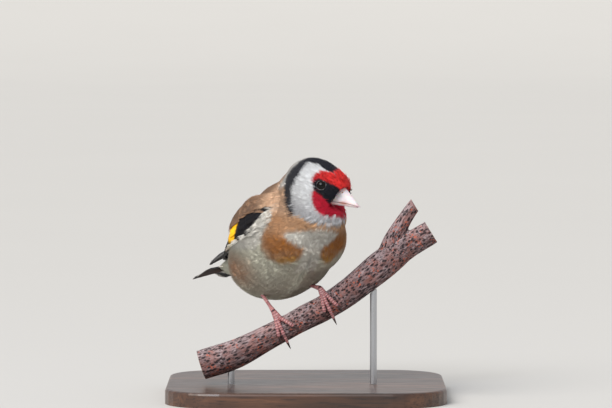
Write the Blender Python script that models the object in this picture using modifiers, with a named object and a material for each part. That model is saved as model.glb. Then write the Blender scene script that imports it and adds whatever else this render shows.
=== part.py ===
"""A life-size perched European goldfinch on a cut length of branch, on a plain display stand.

Metres, +Z up. The perch runs along X and rises towards +X, and the toes come over its -Y side.
The origin is the centre of the stand's underside. The bird is modelled in a frame of its own
(x forward, y to its left, z up, from a point on the perch between its feet), which is then
turned on the perch. The head has a frame of its own too, turned and tipped from the body's,
and so has the tail. Sizes are in millimetres until a point is placed in the world.
"""

import math

import bmesh
import bpy
import numpy as np
from mathutils import Matrix, Vector
from mathutils.bvhtree import BVHTree

MM = 0.001
GAP = 0.3
LEAST_EDGE = 0.08
SHARP_FROM = math.radians(35.0)

# Where the bird stands and how it holds itself
FEET_AT = Vector((-3.0, -12.0, 38.0))
BODY_TURN = math.radians(-55.0)
BODY_PITCH = 40.0
HEAD_AT = Vector((17.0, 0.0, 48.2))
HEAD_TURN = math.radians(26.0)
HEAD_TIP = math.radians(25.6)
TAIL_AT = Vector((-18.0, 0.0, 17.6))
TAIL_DROP = math.radians(9.8)

# The bare form under the small feathers: centre, half sizes and lift of the front end
BODY_LUMPS = {
    "torso": ((-9.0, 0.0, 24.2), (27.5, 20.0, 19.0), BODY_PITCH),
    "breast": ((3.0, 0.0, 27.5), (15.0, 17.8, 16.0), 60.0),
    "belly": ((-6.5, 0.0, 18.9), (18.0, 17.0, 14.0), 21.0),
    "mantle": ((-10.5, 0.0, 34.6), (19.5, 13.8, 11.5), 40.0),
    "throat": ((12.0, 0.0, 36.0), (10.5, 12.0, 11.5), 60.0),
    "neck": ((8.0, 0.0, 38.5), (12.5, 13.0, 13.5), 50.0),
    "nape": ((5.0, 0.0, 44.0), (12.0, 11.5, 11.0), 40.0),
    "rump": ((-23.0, 0.0, 21.2), (19.0, 13.0, 9.8), 26.0),
    "vent": ((-34.0, 0.0, 15.6), (19.0, 8.2, 4.4), 12.0),
}
HEAD_LUMPS = {
    "cranium": ((-2.8, 0.0, -1.3), (12.8, 10.1, 10.0), 0.0),
    "face": ((3.3, 0.0, 0.3), (8.2, 8.6, 8.1), 0.0),
    "chin": ((3.4, 0.0, -6.0), (8.2, 6.8, 5.6), 10.0),
}
SKIN_VOXEL = 0.8
SKIN_SMOOTHINGS = 60
SKIN_SWELL = 0.8
SKIN_FACES_KEPT = 0.055

# Where the flesh is parted: a point on each cut, and the way out of the body
HEAD_CUT = ((10.0, 0.0, 40.0), (0.64, 0.1, 0.76))
NECK_CUT = ((4.5, 0.0, 35.0), (0.66, 0.0, 0.75))
RUMP_CUT = ((-22.0, 0.0, 22.0), (-0.94, 0.0, -0.34))
TAIL_CUT = ((-36.0, 0.0, 14.5), (-0.98, 0.0, -0.19))
TRIM_SIZE = 60.0

# Eyes and bill, in the head's frame
EYE_RADIUS = 2.5
EYE_ON_SIDE = (3.2, 2.5)
EYE_PROUD = 0.25
EYE_OPENING = 1.95
LID_THICKNESS = 0.55
BILL_ROOT = 5.0
BILL_TIP = 18.6
BILL_DEPTH_UP = 5.0
BILL_DEPTH_DOWN = 4.9
BILL_HALF_WIDTH = 3.7
BILL_OVERHANG = 0.7
BILL_LEAST = 0.3
BILL_RINGS = 9
MOUTH_DROP = 3.9
NOSTRIL_AT = (10.6, 1.9, 2.0)
NOSTRIL_SIZE = (0.75, 0.5, 0.4)

# The folded wing, seen from the side: x and z of its lower edge, and how far out its bed lies
WING_LOW = ((-60.0, 12.0), (-42.0, 16.0), (-27.0, 21.2), (-14.0, 26.2), (-3.0, 32.5), (9.0, 39.8))
WING_TOP = ((-60.0, 14.5), (-42.0, 23.5), (-27.0, 33.5), (-14.0, 39.5), (-3.0, 42.5), (9.0, 43.0))
WING_FLOOR = (
    (-60.0, 4.5),
    (-50.0, 7.5),
    (-42.0, 9.5),
    (-35.0, 12.3),
    (-27.0, 15.5),
    (-20.0, 16.8),
    (-12.0, 15.5),
    (6.0, 0.0),
)
WING_LEAN = ((-60.0, 1.1), (-42.0, 1.1), (-35.0, 0.7), (-27.0, 0.25), (-18.0, 0.0))
WING_ROUNDING = 190.0
BED_STEP = 1.5
CORE_FROM = 8.0
CORE_TO = -23.0
CORE_LIFT = 0.4
CORE_THICKNESS = 0.95
CORE_INSET = 0.8
CORE_EDGE = 0.2

# Feathers: how far along each section lies, and its share of the full width
VANE_THICKNESS = 0.56
LONG_FROM = 18.5
LONG_VANE = ((0.0, 0.6), (0.3, 0.9), (0.62, 1.0), (0.87, 0.74))
SHORT_VANE = ((0.0, 0.7), (0.55, 1.0), (0.86, 0.74))

# The folded wing's rows of feathers, each from its lowest to its highest: x and z of the first
# and last root and tip, and how far the feathers lie out from the bed at root and tip
WING_TIERS = {
    "primaries": {
        "count": 7, "roots": ((-12.0, 26.6), (-17.0, 31.0)), "tips": ((-56.5, 12.9), (-39.0, 19.5)),
        "widths": (4.6, 6.0), "root_lift": 0.8, "lifts": (0.6, 1.1), "tilt": 0.2, "bow": -0.6,
    },
    "secondaries": {
        "count": 4, "roots": ((-17.5, 31.5), (-20.0, 34.0)), "tips": ((-38.5, 20.5), (-35.0, 25.0)),
        "widths": (6.2, 6.4), "root_lift": 0.9, "lifts": (1.3, 1.7), "tilt": 0.25, "bow": 0.3,
    },
    "tertials": {
        "count": 3, "roots": ((-16.0, 34.5), (-13.0, 37.5)), "tips": ((-36.0, 27.0), (-26.5, 33.5)),
        "widths": (6.6, 6.4), "root_lift": 1.0, "lifts": (2.0, 2.4), "tilt": 0.25, "bow": 0.4,
    },
    "primary coverts": {
        "count": 3, "roots": ((-3.0, 32.4), (-6.5, 33.5)), "tips": ((-22.0, 24.0), (-20.5, 26.6)),
        "widths": (3.6, 4.0), "root_lift": 0.9, "lifts": (1.1, 1.6), "tilt": 0.2, "bow": 0.0,
    },
    "greater coverts": {
        "count": 5, "roots": ((-5.0, 32.8), (-7.0, 39.6)), "tips": ((-18.5, 28.0), (-22.5, 35.0)),
        "widths": (4.8, 5.6), "root_lift": 1.0, "lifts": (1.9, 2.3), "tilt": 0.2, "bow": 0.0,
    },
    "median coverts": {
        "count": 4, "roots": ((1.0, 35.6), (-2.0, 41.0)), "tips": ((-9.5, 30.9), (-14.0, 38.6)),
        "widths": (4.6, 5.6), "root_lift": 1.0, "lifts": (2.2, 2.5), "tilt": 0.2, "bow": 0.0,
    },
    "lesser coverts": {
        "count": 4, "roots": ((6.0, 39.0), (4.0, 42.2)), "tips": ((-3.0, 34.4), (-7.0, 41.2)),
        "widths": (3.8, 4.4), "root_lift": 0.7, "lifts": (2.1, 2.4), "tilt": 0.2, "bow": 0.0,
    },
    "alula": {
        "count": 2, "roots": ((2.0, 36.0), (0.0, 35.6)), "tips": ((-10.5, 28.2), (-11.5, 29.6)),
        "widths": (3.0, 3.2), "root_lift": 0.9, "lifts": (1.4, 1.8), "tilt": 0.2, "bow": 0.0,
    },
}

# Tail: x runs back from its root, and a covert row holds a count, a length and its rise
TAIL_PAIRS = 6
TAIL_ROOT = 17.0
TAIL_LENGTH = 45.5
TAIL_FORK = 4.5
TAIL_ARCH = 0.03
TAIL_VANE_WIDTH = (6.4, 5.2)
UPPER_COVERTS = (5, 12.0, 2.4)
UNDER_COVERTS = (5, 15.0, 2.6)
COVERT_WIDTH = 4.4
COVERT_STEP = 1.9

# Perch: x, z and radius of its centre line
PERCH_Y = -12.0
PERCH_LINE = (
    (-42.0, 13.7, 6.1),
    (-28.0, 18.4, 6.0),
    (-11.2, 27.0, 5.0),
    (-1.6, 32.2, 5.1),
    (8.8, 37.6, 5.4),
    (18.4, 44.2, 5.6),
    (31.0, 54.4, 6.2),
    (40.0, 61.0, 5.2),
    (50.0, 67.2, 4.9),
)
SHOOT_LINE = ((31.0, 56.0, 3.6), (34.5, 63.4, 3.9), (39.6, 72.4, 3.2), (45.0, 80.0, 2.8), (48.8, 84.8, 2.7))
SHOOT_END_Y = -9.0
PERCH_RINGS = 17
PERCH_SAMPLES = 81

# Feet, along the perch's own line: where the ankle stands and, for each toe, where it ends,
# how far it turns round the perch from the top, and how far it then hangs straight
ANKLE_FORWARD = 2.6
FEET = {
    "right": {
        "at": -9.0,
        "height": 8.3,
        "shank": (-0.42, 0.76, 0.55),
        "toes": {
            "outer": (-11.4, 103.0, 0.0),
            "middle": (-9.6, 112.0, 3.0),
            "inner": (-5.2, 93.0, 0.0),
            "hind": (-11.5, -104.0, 0.0),
        },
    },
    "left": {
        "at": 9.75,
        "height": 7.8,
        "shank": (-0.68, 0.70, 0.14),
        "toes": {
            "inner": (6.9, 99.0, 0.0),
            "middle": (8.7, 112.0, 2.8),
            "outer": (11.7, 105.0, 0.0),
            "hind": (6.8, -104.0, 0.0),
        },
    },
}
SHANK_LENGTH = 14.5
SHANK_RADIUS = 0.7
TOE_RADIUS = 0.68
CLAW_LENGTH = {"outer": 3.4, "middle": 4.0, "inner": 3.4, "hind": 4.6}
CLAW_BEND = 9.0
CLAW_STEPS = 5
CLAW_RADIUS = 0.5
TOE_KNUCKLES = (1.25, 1.05, 1.2, 0.95, 1.15, 0.9, 1.1, 0.85, 0.75)
TOE_CLEAR = 0.1
TOE_FIRST_ANGLE = 40.0
SHANK_SECTIONS = ((0.0, 1.5), (0.12, 1.05), (0.5, 0.95), (0.85, 1.1), (1.0, 1.4))

# Stand
BASE_LENGTH = 112.0
BASE_WIDTH = 98.0
BASE_HEIGHT = 6.0
BASE_CORNER = 22.0
BASE_EDGE = 1.0
ROD_RADIUS = 1.4
ROD_X = (-30.0, 27.0)

BODY_FRAME = Matrix.Translation(FEET_AT) @ Matrix.Rotation(BODY_TURN, 4, "Z")
HEAD_FRAME = (
    BODY_FRAME
    @ Matrix.Translation(HEAD_AT)
    @ Matrix.Rotation(HEAD_TURN, 4, "Z")
    @ Matrix.Rotation(HEAD_TIP, 4, "Y")
)
TAIL_FRAME = BODY_FRAME @ Matrix.Translation(TAIL_AT) @ Matrix.Rotation(-TAIL_DROP, 4, "Y")


def clear_scene():
    for obj in list(bpy.data.objects):
        bpy.data.objects.remove(obj)


def new_collection(name):
    collection = bpy.data.collections.new(name)
    bpy.context.scene.collection.children.link(collection)
    return collection


def paint(obj, colour, roughness, metallic=0.0):
    """Gives the object a material of its own."""
    material = bpy.data.materials.new(obj.name)
    material.use_nodes = True
    shader = material.node_tree.nodes["Principled BSDF"]
    shader.inputs["Base Color"].default_value = (*colour, 1.0)
    shader.inputs["Roughness"].default_value = roughness
    shader.inputs["Metallic"].default_value = metallic
    obj.data.materials.clear()
    obj.data.materials.append(material)


def place(frame, point):
    """A point given in mm in one of the bird's frames, in metres in the world."""
    return (frame @ Vector(point)) * MM


def object_from_bmesh(bm, name, collection):
    mesh = bpy.data.meshes.new(name)
    bm.to_mesh(mesh)
    bm.free()
    obj = bpy.data.objects.new(name, mesh)
    collection.objects.link(obj)
    return obj


def apply_modifiers(obj):
    """Replaces the object's mesh by what its modifiers make of it."""
    graph = bpy.context.evaluated_depsgraph_get()
    mesh = bpy.data.meshes.new_from_object(obj.evaluated_get(graph))
    obj.modifiers.clear()
    obj.data = mesh


def copy_of(obj, name, collection):
    twin = bpy.data.objects.new(name, obj.data.copy())
    collection.objects.link(twin)
    return twin


def boolean(obj, operation, cutter):
    """Applies a Boolean with one closed mesh object, which is then removed."""
    modifier = obj.modifiers.new(operation, "BOOLEAN")
    modifier.operation = operation
    modifier.solver = "MANIFOLD"
    modifier.object = cutter
    apply_modifiers(obj)
    bpy.data.objects.remove(cutter)


def fuse(obj, pieces):
    """Joins every object of the collection to this one, and removes the collection."""
    modifier = obj.modifiers.new("fuse", "BOOLEAN")
    modifier.operation = "UNION"
    modifier.solver = "MANIFOLD"
    modifier.operand_type = "COLLECTION"
    modifier.collection = pieces
    apply_modifiers(obj)
    for piece in list(pieces.objects):
        bpy.data.objects.remove(piece)
    bpy.data.collections.remove(pieces)


def keep_largest(obj):
    """Leaves only the largest closed surface of the object's mesh."""
    bm = bmesh.new()
    bm.from_mesh(obj.data)
    unseen = set(bm.faces)
    shells = []
    while unseen:
        shell = [unseen.pop()]
        for face in shell:
            for edge in face.edges:
                for other in edge.link_faces:
                    if other in unseen:
                        unseen.remove(other)
                        shell.append(other)
        shells.append(shell)
    shells.sort(key=lambda shell: sum(face.calc_area() for face in shell))
    scraps = [face for shell in shells[:-1] for face in shell]
    bmesh.ops.delete(bm, geom=scraps, context="FACES")
    bm.to_mesh(obj.data)
    bm.free()


def smooth_curve(knots, count):
    """Points on a smooth curve through the knots, evenly spread between them."""
    knots = np.array(knots, float)
    padded = np.vstack([2 * knots[0] - knots[1], knots, 2 * knots[-1] - knots[-2]])
    points = []
    for value in np.linspace(0.0, len(knots) - 1.0, count):
        index = min(int(value), len(knots) - 2)
        t = value - index
        a, b, c, d = padded[index : index + 4]
        bend = 2 * a - 5 * b + 4 * c - d
        points.append(0.5 * (2 * b + (c - a) * t + bend * t**2 + (3 * b - a - 3 * c + d) * t**3))
    return np.array(points)


def tube(name, points, radii, collection, roundness=2):
    """A closed tube through world points. Its radii are in mm, and it ends in flat caps."""
    curve = bpy.data.curves.new(name, "CURVE")
    curve.dimensions = "3D"
    curve.bevel_depth = MM
    curve.bevel_resolution = roundness
    curve.use_fill_caps = True
    spline = curve.splines.new("POLY")
    spline.points.add(len(points) - 1)
    for slot, point, radius in zip(spline.points, points, radii):
        slot.co = (*point, 1.0)
        slot.radius = radius
    guide = bpy.data.objects.new(name + " line", curve)
    collection.objects.link(guide)
    graph = bpy.context.evaluated_depsgraph_get()
    mesh = bpy.data.meshes.new_from_object(guide.evaluated_get(graph))
    bm = bmesh.new()
    bm.from_mesh(mesh)
    bmesh.ops.remove_doubles(bm, verts=bm.verts, dist=1e-6)
    bmesh.ops.recalc_face_normals(bm, faces=bm.faces)
    bpy.data.objects.remove(guide)
    return object_from_bmesh(bm, name, collection)


def loft(name, rings, collection):
    """A closed body through rings of world points. A ring of one point is a tip."""
    bm = bmesh.new()
    loops = [[bm.verts.new(point) for point in ring] for ring in rings]
    for first, second in zip(loops, loops[1:]):
        count = max(len(first), len(second))
        for index in range(count):
            after = (index + 1) % count
            if len(second) == 1:
                bm.faces.new((first[index], first[after], second[0]))
            else:
                bm.faces.new((first[index], first[after], second[after]))
                bm.faces.new((first[index], second[after], second[index]))
    for end in (loops[0], loops[-1]):
        if len(end) > 2:
            bm.faces.new(end)
    bmesh.ops.recalc_face_normals(bm, faces=bm.faces)
    return object_from_bmesh(bm, name, collection)


def ball(name, frame, centre, radii, collection, segments=16, pitch=0.0):
    """An ellipsoid in one of the bird's frames."""
    bm = bmesh.new()
    add_lump(bm, frame, centre, radii, pitch, segments)
    return object_from_bmesh(bm, name, collection)


def add_lump(bm, frame, centre, radii, pitch=0.0, segments=32):
    """Adds one ellipsoid of soft form. Its pitch lifts its front end."""
    matrix = (
        Matrix.Scale(MM, 4)
        @ frame
        @ Matrix.Translation(Vector(centre))
        @ Matrix.Rotation(math.radians(-pitch), 4, "Y")
        @ Matrix.Diagonal((*radii, 1.0))
    )
    rings = segments * 5 // 8
    bmesh.ops.create_uvsphere(bm, u_segments=segments, v_segments=rings, radius=1.0, matrix=matrix)


def make_flesh(parts):
    """The whole bird without bill, wings, legs and tail feathers, as one smooth closed skin."""
    bm = bmesh.new()
    for centre, radii, pitch in BODY_LUMPS.values():
        add_lump(bm, BODY_FRAME, centre, radii, pitch)
    for centre, radii, pitch in HEAD_LUMPS.values():
        add_lump(bm, HEAD_FRAME, centre, radii, pitch)
    flesh = object_from_bmesh(bm, "flesh", parts)
    remesh = flesh.modifiers.new("one skin", "REMESH")
    remesh.mode = "VOXEL"
    remesh.voxel_size = SKIN_VOXEL * MM
    smooth = flesh.modifiers.new("blend the lumps", "SMOOTH")
    smooth.factor = 0.5
    smooth.iterations = SKIN_SMOOTHINGS
    swell = flesh.modifiers.new("give back what smoothing took", "DISPLACE")
    swell.strength = SKIN_SWELL * MM
    swell.mid_level = 0.0
    thin_out = flesh.modifiers.new("fewer faces", "DECIMATE")
    thin_out.ratio = SKIN_FACES_KEPT
    apply_modifiers(flesh)
    return flesh


def swollen(obj, name, collection, by=GAP):
    """A copy of a closed object, grown by a gap's width, to cut its neighbours with."""
    twin = copy_of(obj, name, collection)
    swell = twin.modifiers.new("gap", "DISPLACE")
    swell.strength = by * MM
    swell.mid_level = 0.0
    apply_modifiers(twin)
    return twin


def slab_of(flesh, name, parts, inner=None, outer=None):
    """The part of the flesh that lies outside one cut and inside another."""
    bm = bmesh.new()
    bm.from_mesh(flesh.data)
    for cut, side in ((inner, 1.0), (outer, -1.0)):
        if cut is None:
            continue
        at, normal = cut
        normal = (BODY_FRAME.to_3x3() @ Vector(normal)).normalized() * side
        point = place(BODY_FRAME, at) + normal * GAP / 2 * MM
        geometry = bm.verts[:] + bm.edges[:] + bm.faces[:]
        bmesh.ops.bisect_plane(
            bm, geom=geometry, dist=1e-7, plane_co=point, plane_no=normal, clear_inner=True
        )
        rim = [edge for edge in bm.edges if edge.is_boundary]
        bmesh.ops.holes_fill(bm, edges=rim, sides=0)
    bmesh.ops.recalc_face_normals(bm, faces=bm.faces)
    return object_from_bmesh(bm, name, parts)


def eye_centre(tree, side):
    """The eyeball's centre in the head's frame: sunk behind the side of the head."""
    start = Vector((EYE_ON_SIDE[0], side * 40.0, EYE_ON_SIDE[1]))
    hit, normal = tree.ray_cast(start, Vector((0.0, -side, 0.0)))[:2]
    return hit - normal * (EYE_RADIUS - EYE_PROUD), normal


def bird_tree(flesh, frame):
    """The skin as a search tree in one of the bird's frames, in mm."""
    back = frame.inverted() @ Matrix.Scale(1.0 / MM, 4)
    mesh = flesh.data
    mesh.calc_loop_triangles()
    corners = [back @ vertex.co for vertex in mesh.vertices]
    return BVHTree.FromPolygons(corners, [tuple(face.vertices) for face in mesh.loop_triangles])


def make_eyes(flesh, head, parts):
    """Eyeballs in sockets, each behind a ring of lid that is one with the head."""
    tree = bird_tree(flesh, HEAD_FRAME)
    for side, name in ((1.0, "eye_left"), (-1.0, "eye_right")):
        centre, outward = eye_centre(tree, side)
        lid = ball("lid", HEAD_FRAME, centre, [EYE_RADIUS + GAP + LID_THICKNESS] * 3, parts)
        boolean(head, "UNION", lid)
        socket = ball("socket", HEAD_FRAME, centre, [EYE_RADIUS + GAP] * 3, parts)
        boolean(head, "DIFFERENCE", socket)
        bm = bmesh.new()
        turn = outward.to_track_quat("Z", "Y").to_matrix().to_4x4()
        matrix = Matrix.Scale(MM, 4) @ HEAD_FRAME @ Matrix.Translation(centre) @ turn
        matrix = matrix @ Matrix.Translation((0.0, 0.0, 2.0 * EYE_RADIUS))
        matrix = matrix @ Matrix.Diagonal((1.0, 0.92, 1.0, 1.0))
        bmesh.ops.create_cone(
            bm,
            cap_ends=True,
            segments=16,
            radius1=EYE_OPENING,
            radius2=EYE_OPENING,
            depth=4.0 * EYE_RADIUS,
            matrix=matrix,
        )
        boolean(head, "DIFFERENCE", object_from_bmesh(bm, "opening", parts))
        keep_largest(head)
        eye = ball(name, HEAD_FRAME, centre, [EYE_RADIUS] * 3, parts)
        paint(eye, (0.02, 0.012, 0.01), 0.08)


def tidy_slivers(obj):
    """Merges corners that Booleans left almost in one place, and drops what collapses."""
    bm = bmesh.new()
    bm.from_mesh(obj.data)
    bmesh.ops.remove_doubles(bm, verts=bm.verts, dist=LEAST_EDGE * MM)
    bmesh.ops.dissolve_degenerate(bm, edges=bm.edges, dist=LEAST_EDGE * MM)
    bmesh.ops.triangulate(bm, faces=bm.faces)
    bm.to_mesh(obj.data)
    bm.free()


def bill_profile(x):
    """Heights of the ridge, mouth line and underside of the bill at x, and its half width."""
    t = (x - BILL_ROOT) / (BILL_TIP - BILL_ROOT)
    ridge = BILL_DEPTH_UP * (1.0 - t**1.25)
    mouth = -MOUTH_DROP * (1.0 - t) ** 1.5
    under = -BILL_DEPTH_DOWN * (1.0 - t) ** 0.95 - 0.25
    half = BILL_HALF_WIDTH * (1.0 - t) ** 0.85 + 0.12
    return ridge, mouth, under, half


def make_bill(bare, parts):
    """Upper and lower bill, parted along the line of the mouth."""
    for name, end, rise in (("bill_upper", BILL_TIP, 1.0), ("bill_lower", BILL_TIP - BILL_OVERHANG, -1.0)):
        rings = []
        for x in np.linspace(BILL_ROOT, end, BILL_RINGS):
            ridge, mouth, under, half = bill_profile(x)
            foot = mouth + rise * GAP / 2
            peak = ridge if rise > 0 else under
            if abs(peak - foot) < BILL_LEAST:
                peak = foot + rise * BILL_LEAST
            ring = []
            for angle in np.linspace(0.0, math.pi, BILL_RINGS):
                reach = math.copysign(abs(math.cos(angle)) ** 0.9, math.cos(angle))
                ring.append((x, half * reach, foot + (peak - foot) * math.sin(angle) ** 0.9))
            rings.append([place(HEAD_FRAME, point) for point in ring])
        bill = loft(name, rings, parts)
        boolean(bill, "DIFFERENCE", swollen(bare, "face gap", parts))
        if rise > 0:
            for side in (1.0, -1.0):
                x, y, z = NOSTRIL_AT
                nostril = ball("nostril", HEAD_FRAME, (x, side * y, z), NOSTRIL_SIZE, parts, 8)
                boolean(bill, "DIFFERENCE", nostril)
        keep_largest(bill)
        tidy_slivers(bill)
        paint(bill, (0.72, 0.62, 0.58), 0.45)


def wing_bed(tree, side):
    """Returns a function of x, z and lift, all in mm: a point of the bed that the wing lies on."""

    def bed(x, z):
        hit = tree.ray_cast(Vector((x, side * 60.0, z)), Vector((0.0, -side, 0.0)))[0]
        flesh = abs(hit.y) if hit else 0.0
        low = np.interp(x, *zip(*WING_LOW))
        height = max(z - low, 0.0)
        floor = np.interp(x, *zip(*WING_FLOOR)) - height**3 / WING_ROUNDING
        floor = floor - height * np.interp(x, *zip(*WING_LEAN))
        outward = (flesh + floor + math.hypot(flesh - floor, 2.0)) / 2
        return Vector((x, side * outward, z))

    def point(x, z, lift):
        along = bed(x + BED_STEP, z) - bed(x - BED_STEP, z)
        across = bed(x, z + BED_STEP) - bed(x, z - BED_STEP)
        normal = along.cross(across).normalized()
        if normal.y * side < 0:
            normal.negate()
        return place(BODY_FRAME, bed(x, z) + lift * normal)

    return point


def tail_bed(x, y, lift):
    """A point of the tail's slightly arched plane. x runs back from the tail's root."""
    return place(TAIL_FRAME, (-x, y, lift - TAIL_ARCH * y * y))


def under_tail_bed(x, y, lift):
    """The same plane from below, for the feathers under the tail's root."""
    return place(TAIL_FRAME, (-x, y, -lift + TAIL_ARCH * y * y))


def vane(point, root, tip, width, lifts, pieces, tilt=0.0, bow=0.0):
    """One feather on a bed: four-sided in section, widest past its middle, with sharp edges."""
    root = Vector(root)
    tip = Vector(tip)
    along = (tip - root).normalized()
    across = Vector((-along.y, along.x))
    if across.y < 0:
        across.negate()
    rings = []
    sections = LONG_VANE if (tip - root).length > LONG_FROM else SHORT_VANE
    for t, share in sections:
        half = width / 2 * share
        centre = root.lerp(tip, t) + across * bow * math.sin(math.pi * t)
        lift = lifts[0] + (lifts[1] - lifts[0]) * t
        low = point(*(centre - across * half), lift + tilt)
        high = point(*(centre + across * half), lift - tilt)
        top = point(*centre, lift + VANE_THICKNESS / 2)
        bottom = point(*centre, lift - VANE_THICKNESS / 2)
        rings.append([low, top, high, bottom])
    rings.append([point(*tip, lifts[1])])
    bm = bmesh.new()
    loops = [[bm.verts.new(corner) for corner in ring] for ring in rings]
    bm.faces.new(loops[0])
    for first, second in zip(loops, loops[1:]):
        for edge, middle in ((0, 1), (0, 3), (2, 1), (2, 3)):
            if len(second) == 1:
                bm.faces.new((first[edge], first[middle], second[0]))
            else:
                bm.faces.new((first[edge], first[middle], second[middle]))
                bm.faces.new((first[edge], second[middle], second[edge]))
    bmesh.ops.recalc_face_normals(bm, faces=bm.faces)
    object_from_bmesh(bm, "vane", pieces)


def make_wing(flesh, side, name, parts):
    """A folded wing: a thin arm with its skin, and the feathers in tiers that overlap like tiles."""
    point = wing_bed(bird_tree(flesh, BODY_FRAME), side)
    wing = wing_core(point, name, parts)
    pieces = new_collection(name + " feathers")
    for tier in WING_TIERS.values():
        add_tier(point, tier, pieces)
    fuse(wing, pieces)
    boolean(wing, "DIFFERENCE", swollen(flesh, "body gap", parts))
    keep_largest(wing)
    paint(wing, (0.03, 0.028, 0.026), 0.6)


def between(ends, share):
    return Vector(ends[0]).lerp(Vector(ends[1]), share)


def add_tier(point, tier, pieces):
    """A row of feathers, from the lowest to the highest on the folded wing."""
    count = tier["count"]
    for index in range(count):
        share = index / (count - 1)
        root = between(tier["roots"], share)
        tip = between(tier["tips"], share)
        width = tier["widths"][0] + (tier["widths"][1] - tier["widths"][0]) * share
        lift = tier["lifts"][0] + (tier["lifts"][1] - tier["lifts"][0]) * share
        vane(point, root, tip, width, (tier["root_lift"], lift), pieces, tier["tilt"], tier["bow"])


def wing_core(point, name, parts):
    """The arm and hand under the coverts, a shield that thins to its edges."""
    rings = []
    for share_back in np.linspace(0.0, 1.0, 7):
        x = CORE_FROM + (CORE_TO - CORE_FROM) * share_back
        low = np.interp(x, *zip(*WING_LOW)) + CORE_INSET
        top = np.interp(x, *zip(*WING_TOP)) - CORE_INSET
        thick = CORE_THICKNESS * (0.26 + 0.74 * math.sin(math.pi * (0.02 + 0.92 * share_back)) ** 0.5)
        outer = []
        inner = []
        for share in np.linspace(0.0, 1.0, 5):
            z = low + (top - low) * share
            depth = CORE_EDGE + thick * math.sin(math.pi * share) ** 0.6
            outer.append(point(x, z, CORE_LIFT + depth))
            inner.append(point(x, z, CORE_LIFT))
        rings.append(outer + inner[::-1])
    return loft(name, rings, parts)


def make_tail(flesh, parts):
    """The tail's fleshy root with its coverts, and twelve feathers that form a shallow fork."""
    tail = slab_of(flesh, "tail", parts, inner=TAIL_CUT)
    pieces = new_collection("tail feathers")
    for pair in range(TAIL_PAIRS):
        outward = pair / (TAIL_PAIRS - 1)
        length = TAIL_LENGTH + TAIL_FORK * outward**1.5
        lift = 1.0 - 1.7 * outward
        for side in (1.0, -1.0):
            root = (TAIL_ROOT + 2.0, side * (0.7 + 1.9 * outward))
            tip = (length, side * (1.3 + 4.3 * outward))
            width = TAIL_VANE_WIDTH[0] + (TAIL_VANE_WIDTH[1] - TAIL_VANE_WIDTH[0]) * outward
            lifts = (lift * 0.6, lift + 0.06 * side)
            vane(tail_bed, root, tip, width, lifts, pieces, 0.18 * side)
    for bed, (count, reach, lift) in ((tail_bed, UPPER_COVERTS), (under_tail_bed, UNDER_COVERTS)):
        for index in range(count):
            y = (index - (count - 1) / 2) * COVERT_STEP
            root = (TAIL_ROOT + 3.0, y)
            tip = (TAIL_ROOT + 3.0 + reach - 0.5 * abs(y), y * 1.3)
            vane(bed, root, tip, COVERT_WIDTH, (0.9, lift - 0.25 * abs(y)), pieces, 0.1)
    fuse(tail, pieces)
    clear_of(tail, TAIL_CUT)
    keep_largest(tail)
    paint(tail, (0.03, 0.028, 0.026), 0.6)


def clear_of(obj, cut):
    """Trims whatever of the object reaches back over the cut that it starts at."""
    bm = bmesh.new()
    normal = (BODY_FRAME.to_3x3() @ Vector(cut[1])).normalized()
    size = TRIM_SIZE * MM
    centre = place(BODY_FRAME, cut[0]) + normal * (GAP / 2 * MM - size / 2)
    turn = normal.to_track_quat("Z", "Y").to_matrix().to_4x4()
    matrix = Matrix.Translation(centre) @ turn @ Matrix.Scale(size, 4)
    bmesh.ops.create_cube(bm, size=1.0, matrix=matrix)
    boolean(obj, "DIFFERENCE", object_from_bmesh(bm, "trim", bpy.context.scene.collection))


def perch_points(count):
    return smooth_curve(PERCH_LINE, count)


def perch_radius(x):
    line = perch_points(PERCH_SAMPLES)
    return float(np.interp(x, line[:, 0], line[:, 2]))


def on_perch(x, angle, reach):
    """The world point at this x of the perch's centre line, turned from its top towards -Y."""
    line = perch_points(PERCH_SAMPLES)
    z = np.interp(x, line[:, 0], line[:, 1])
    rise = np.interp(x + 1.0, line[:, 0], line[:, 1]) - np.interp(x - 1.0, line[:, 0], line[:, 1])
    up = Vector((-rise, 0.0, 2.0)).normalized()
    front = Vector((0.0, -1.0, 0.0))
    turn = math.radians(angle)
    outward = up * math.cos(turn) + front * math.sin(turn)
    return (Vector((x, PERCH_Y, z)) + outward * (perch_radius(x) + reach)) * MM, outward


def make_perch(parts):
    """A bent length of branch, sawn off at both ends, with the stub of a side shoot."""
    line = perch_points(PERCH_RINGS)
    points = [Vector((x, PERCH_Y, z)) * MM for x, z, radius in line]
    perch = tube("perch", points, line[:, 2], parts, 4)
    shoot = smooth_curve(SHOOT_LINE, 7)
    sideways = np.linspace(PERCH_Y, SHOOT_END_Y, len(shoot))
    points = [Vector((x, y, z)) * MM for (x, z, radius), y in zip(shoot, sideways)]
    boolean(perch, "UNION", tube("shoot", points, shoot[:, 2], parts, 3))
    keep_largest(perch)
    paint(perch, (0.36, 0.27, 0.24), 0.85)
    return perch


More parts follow.
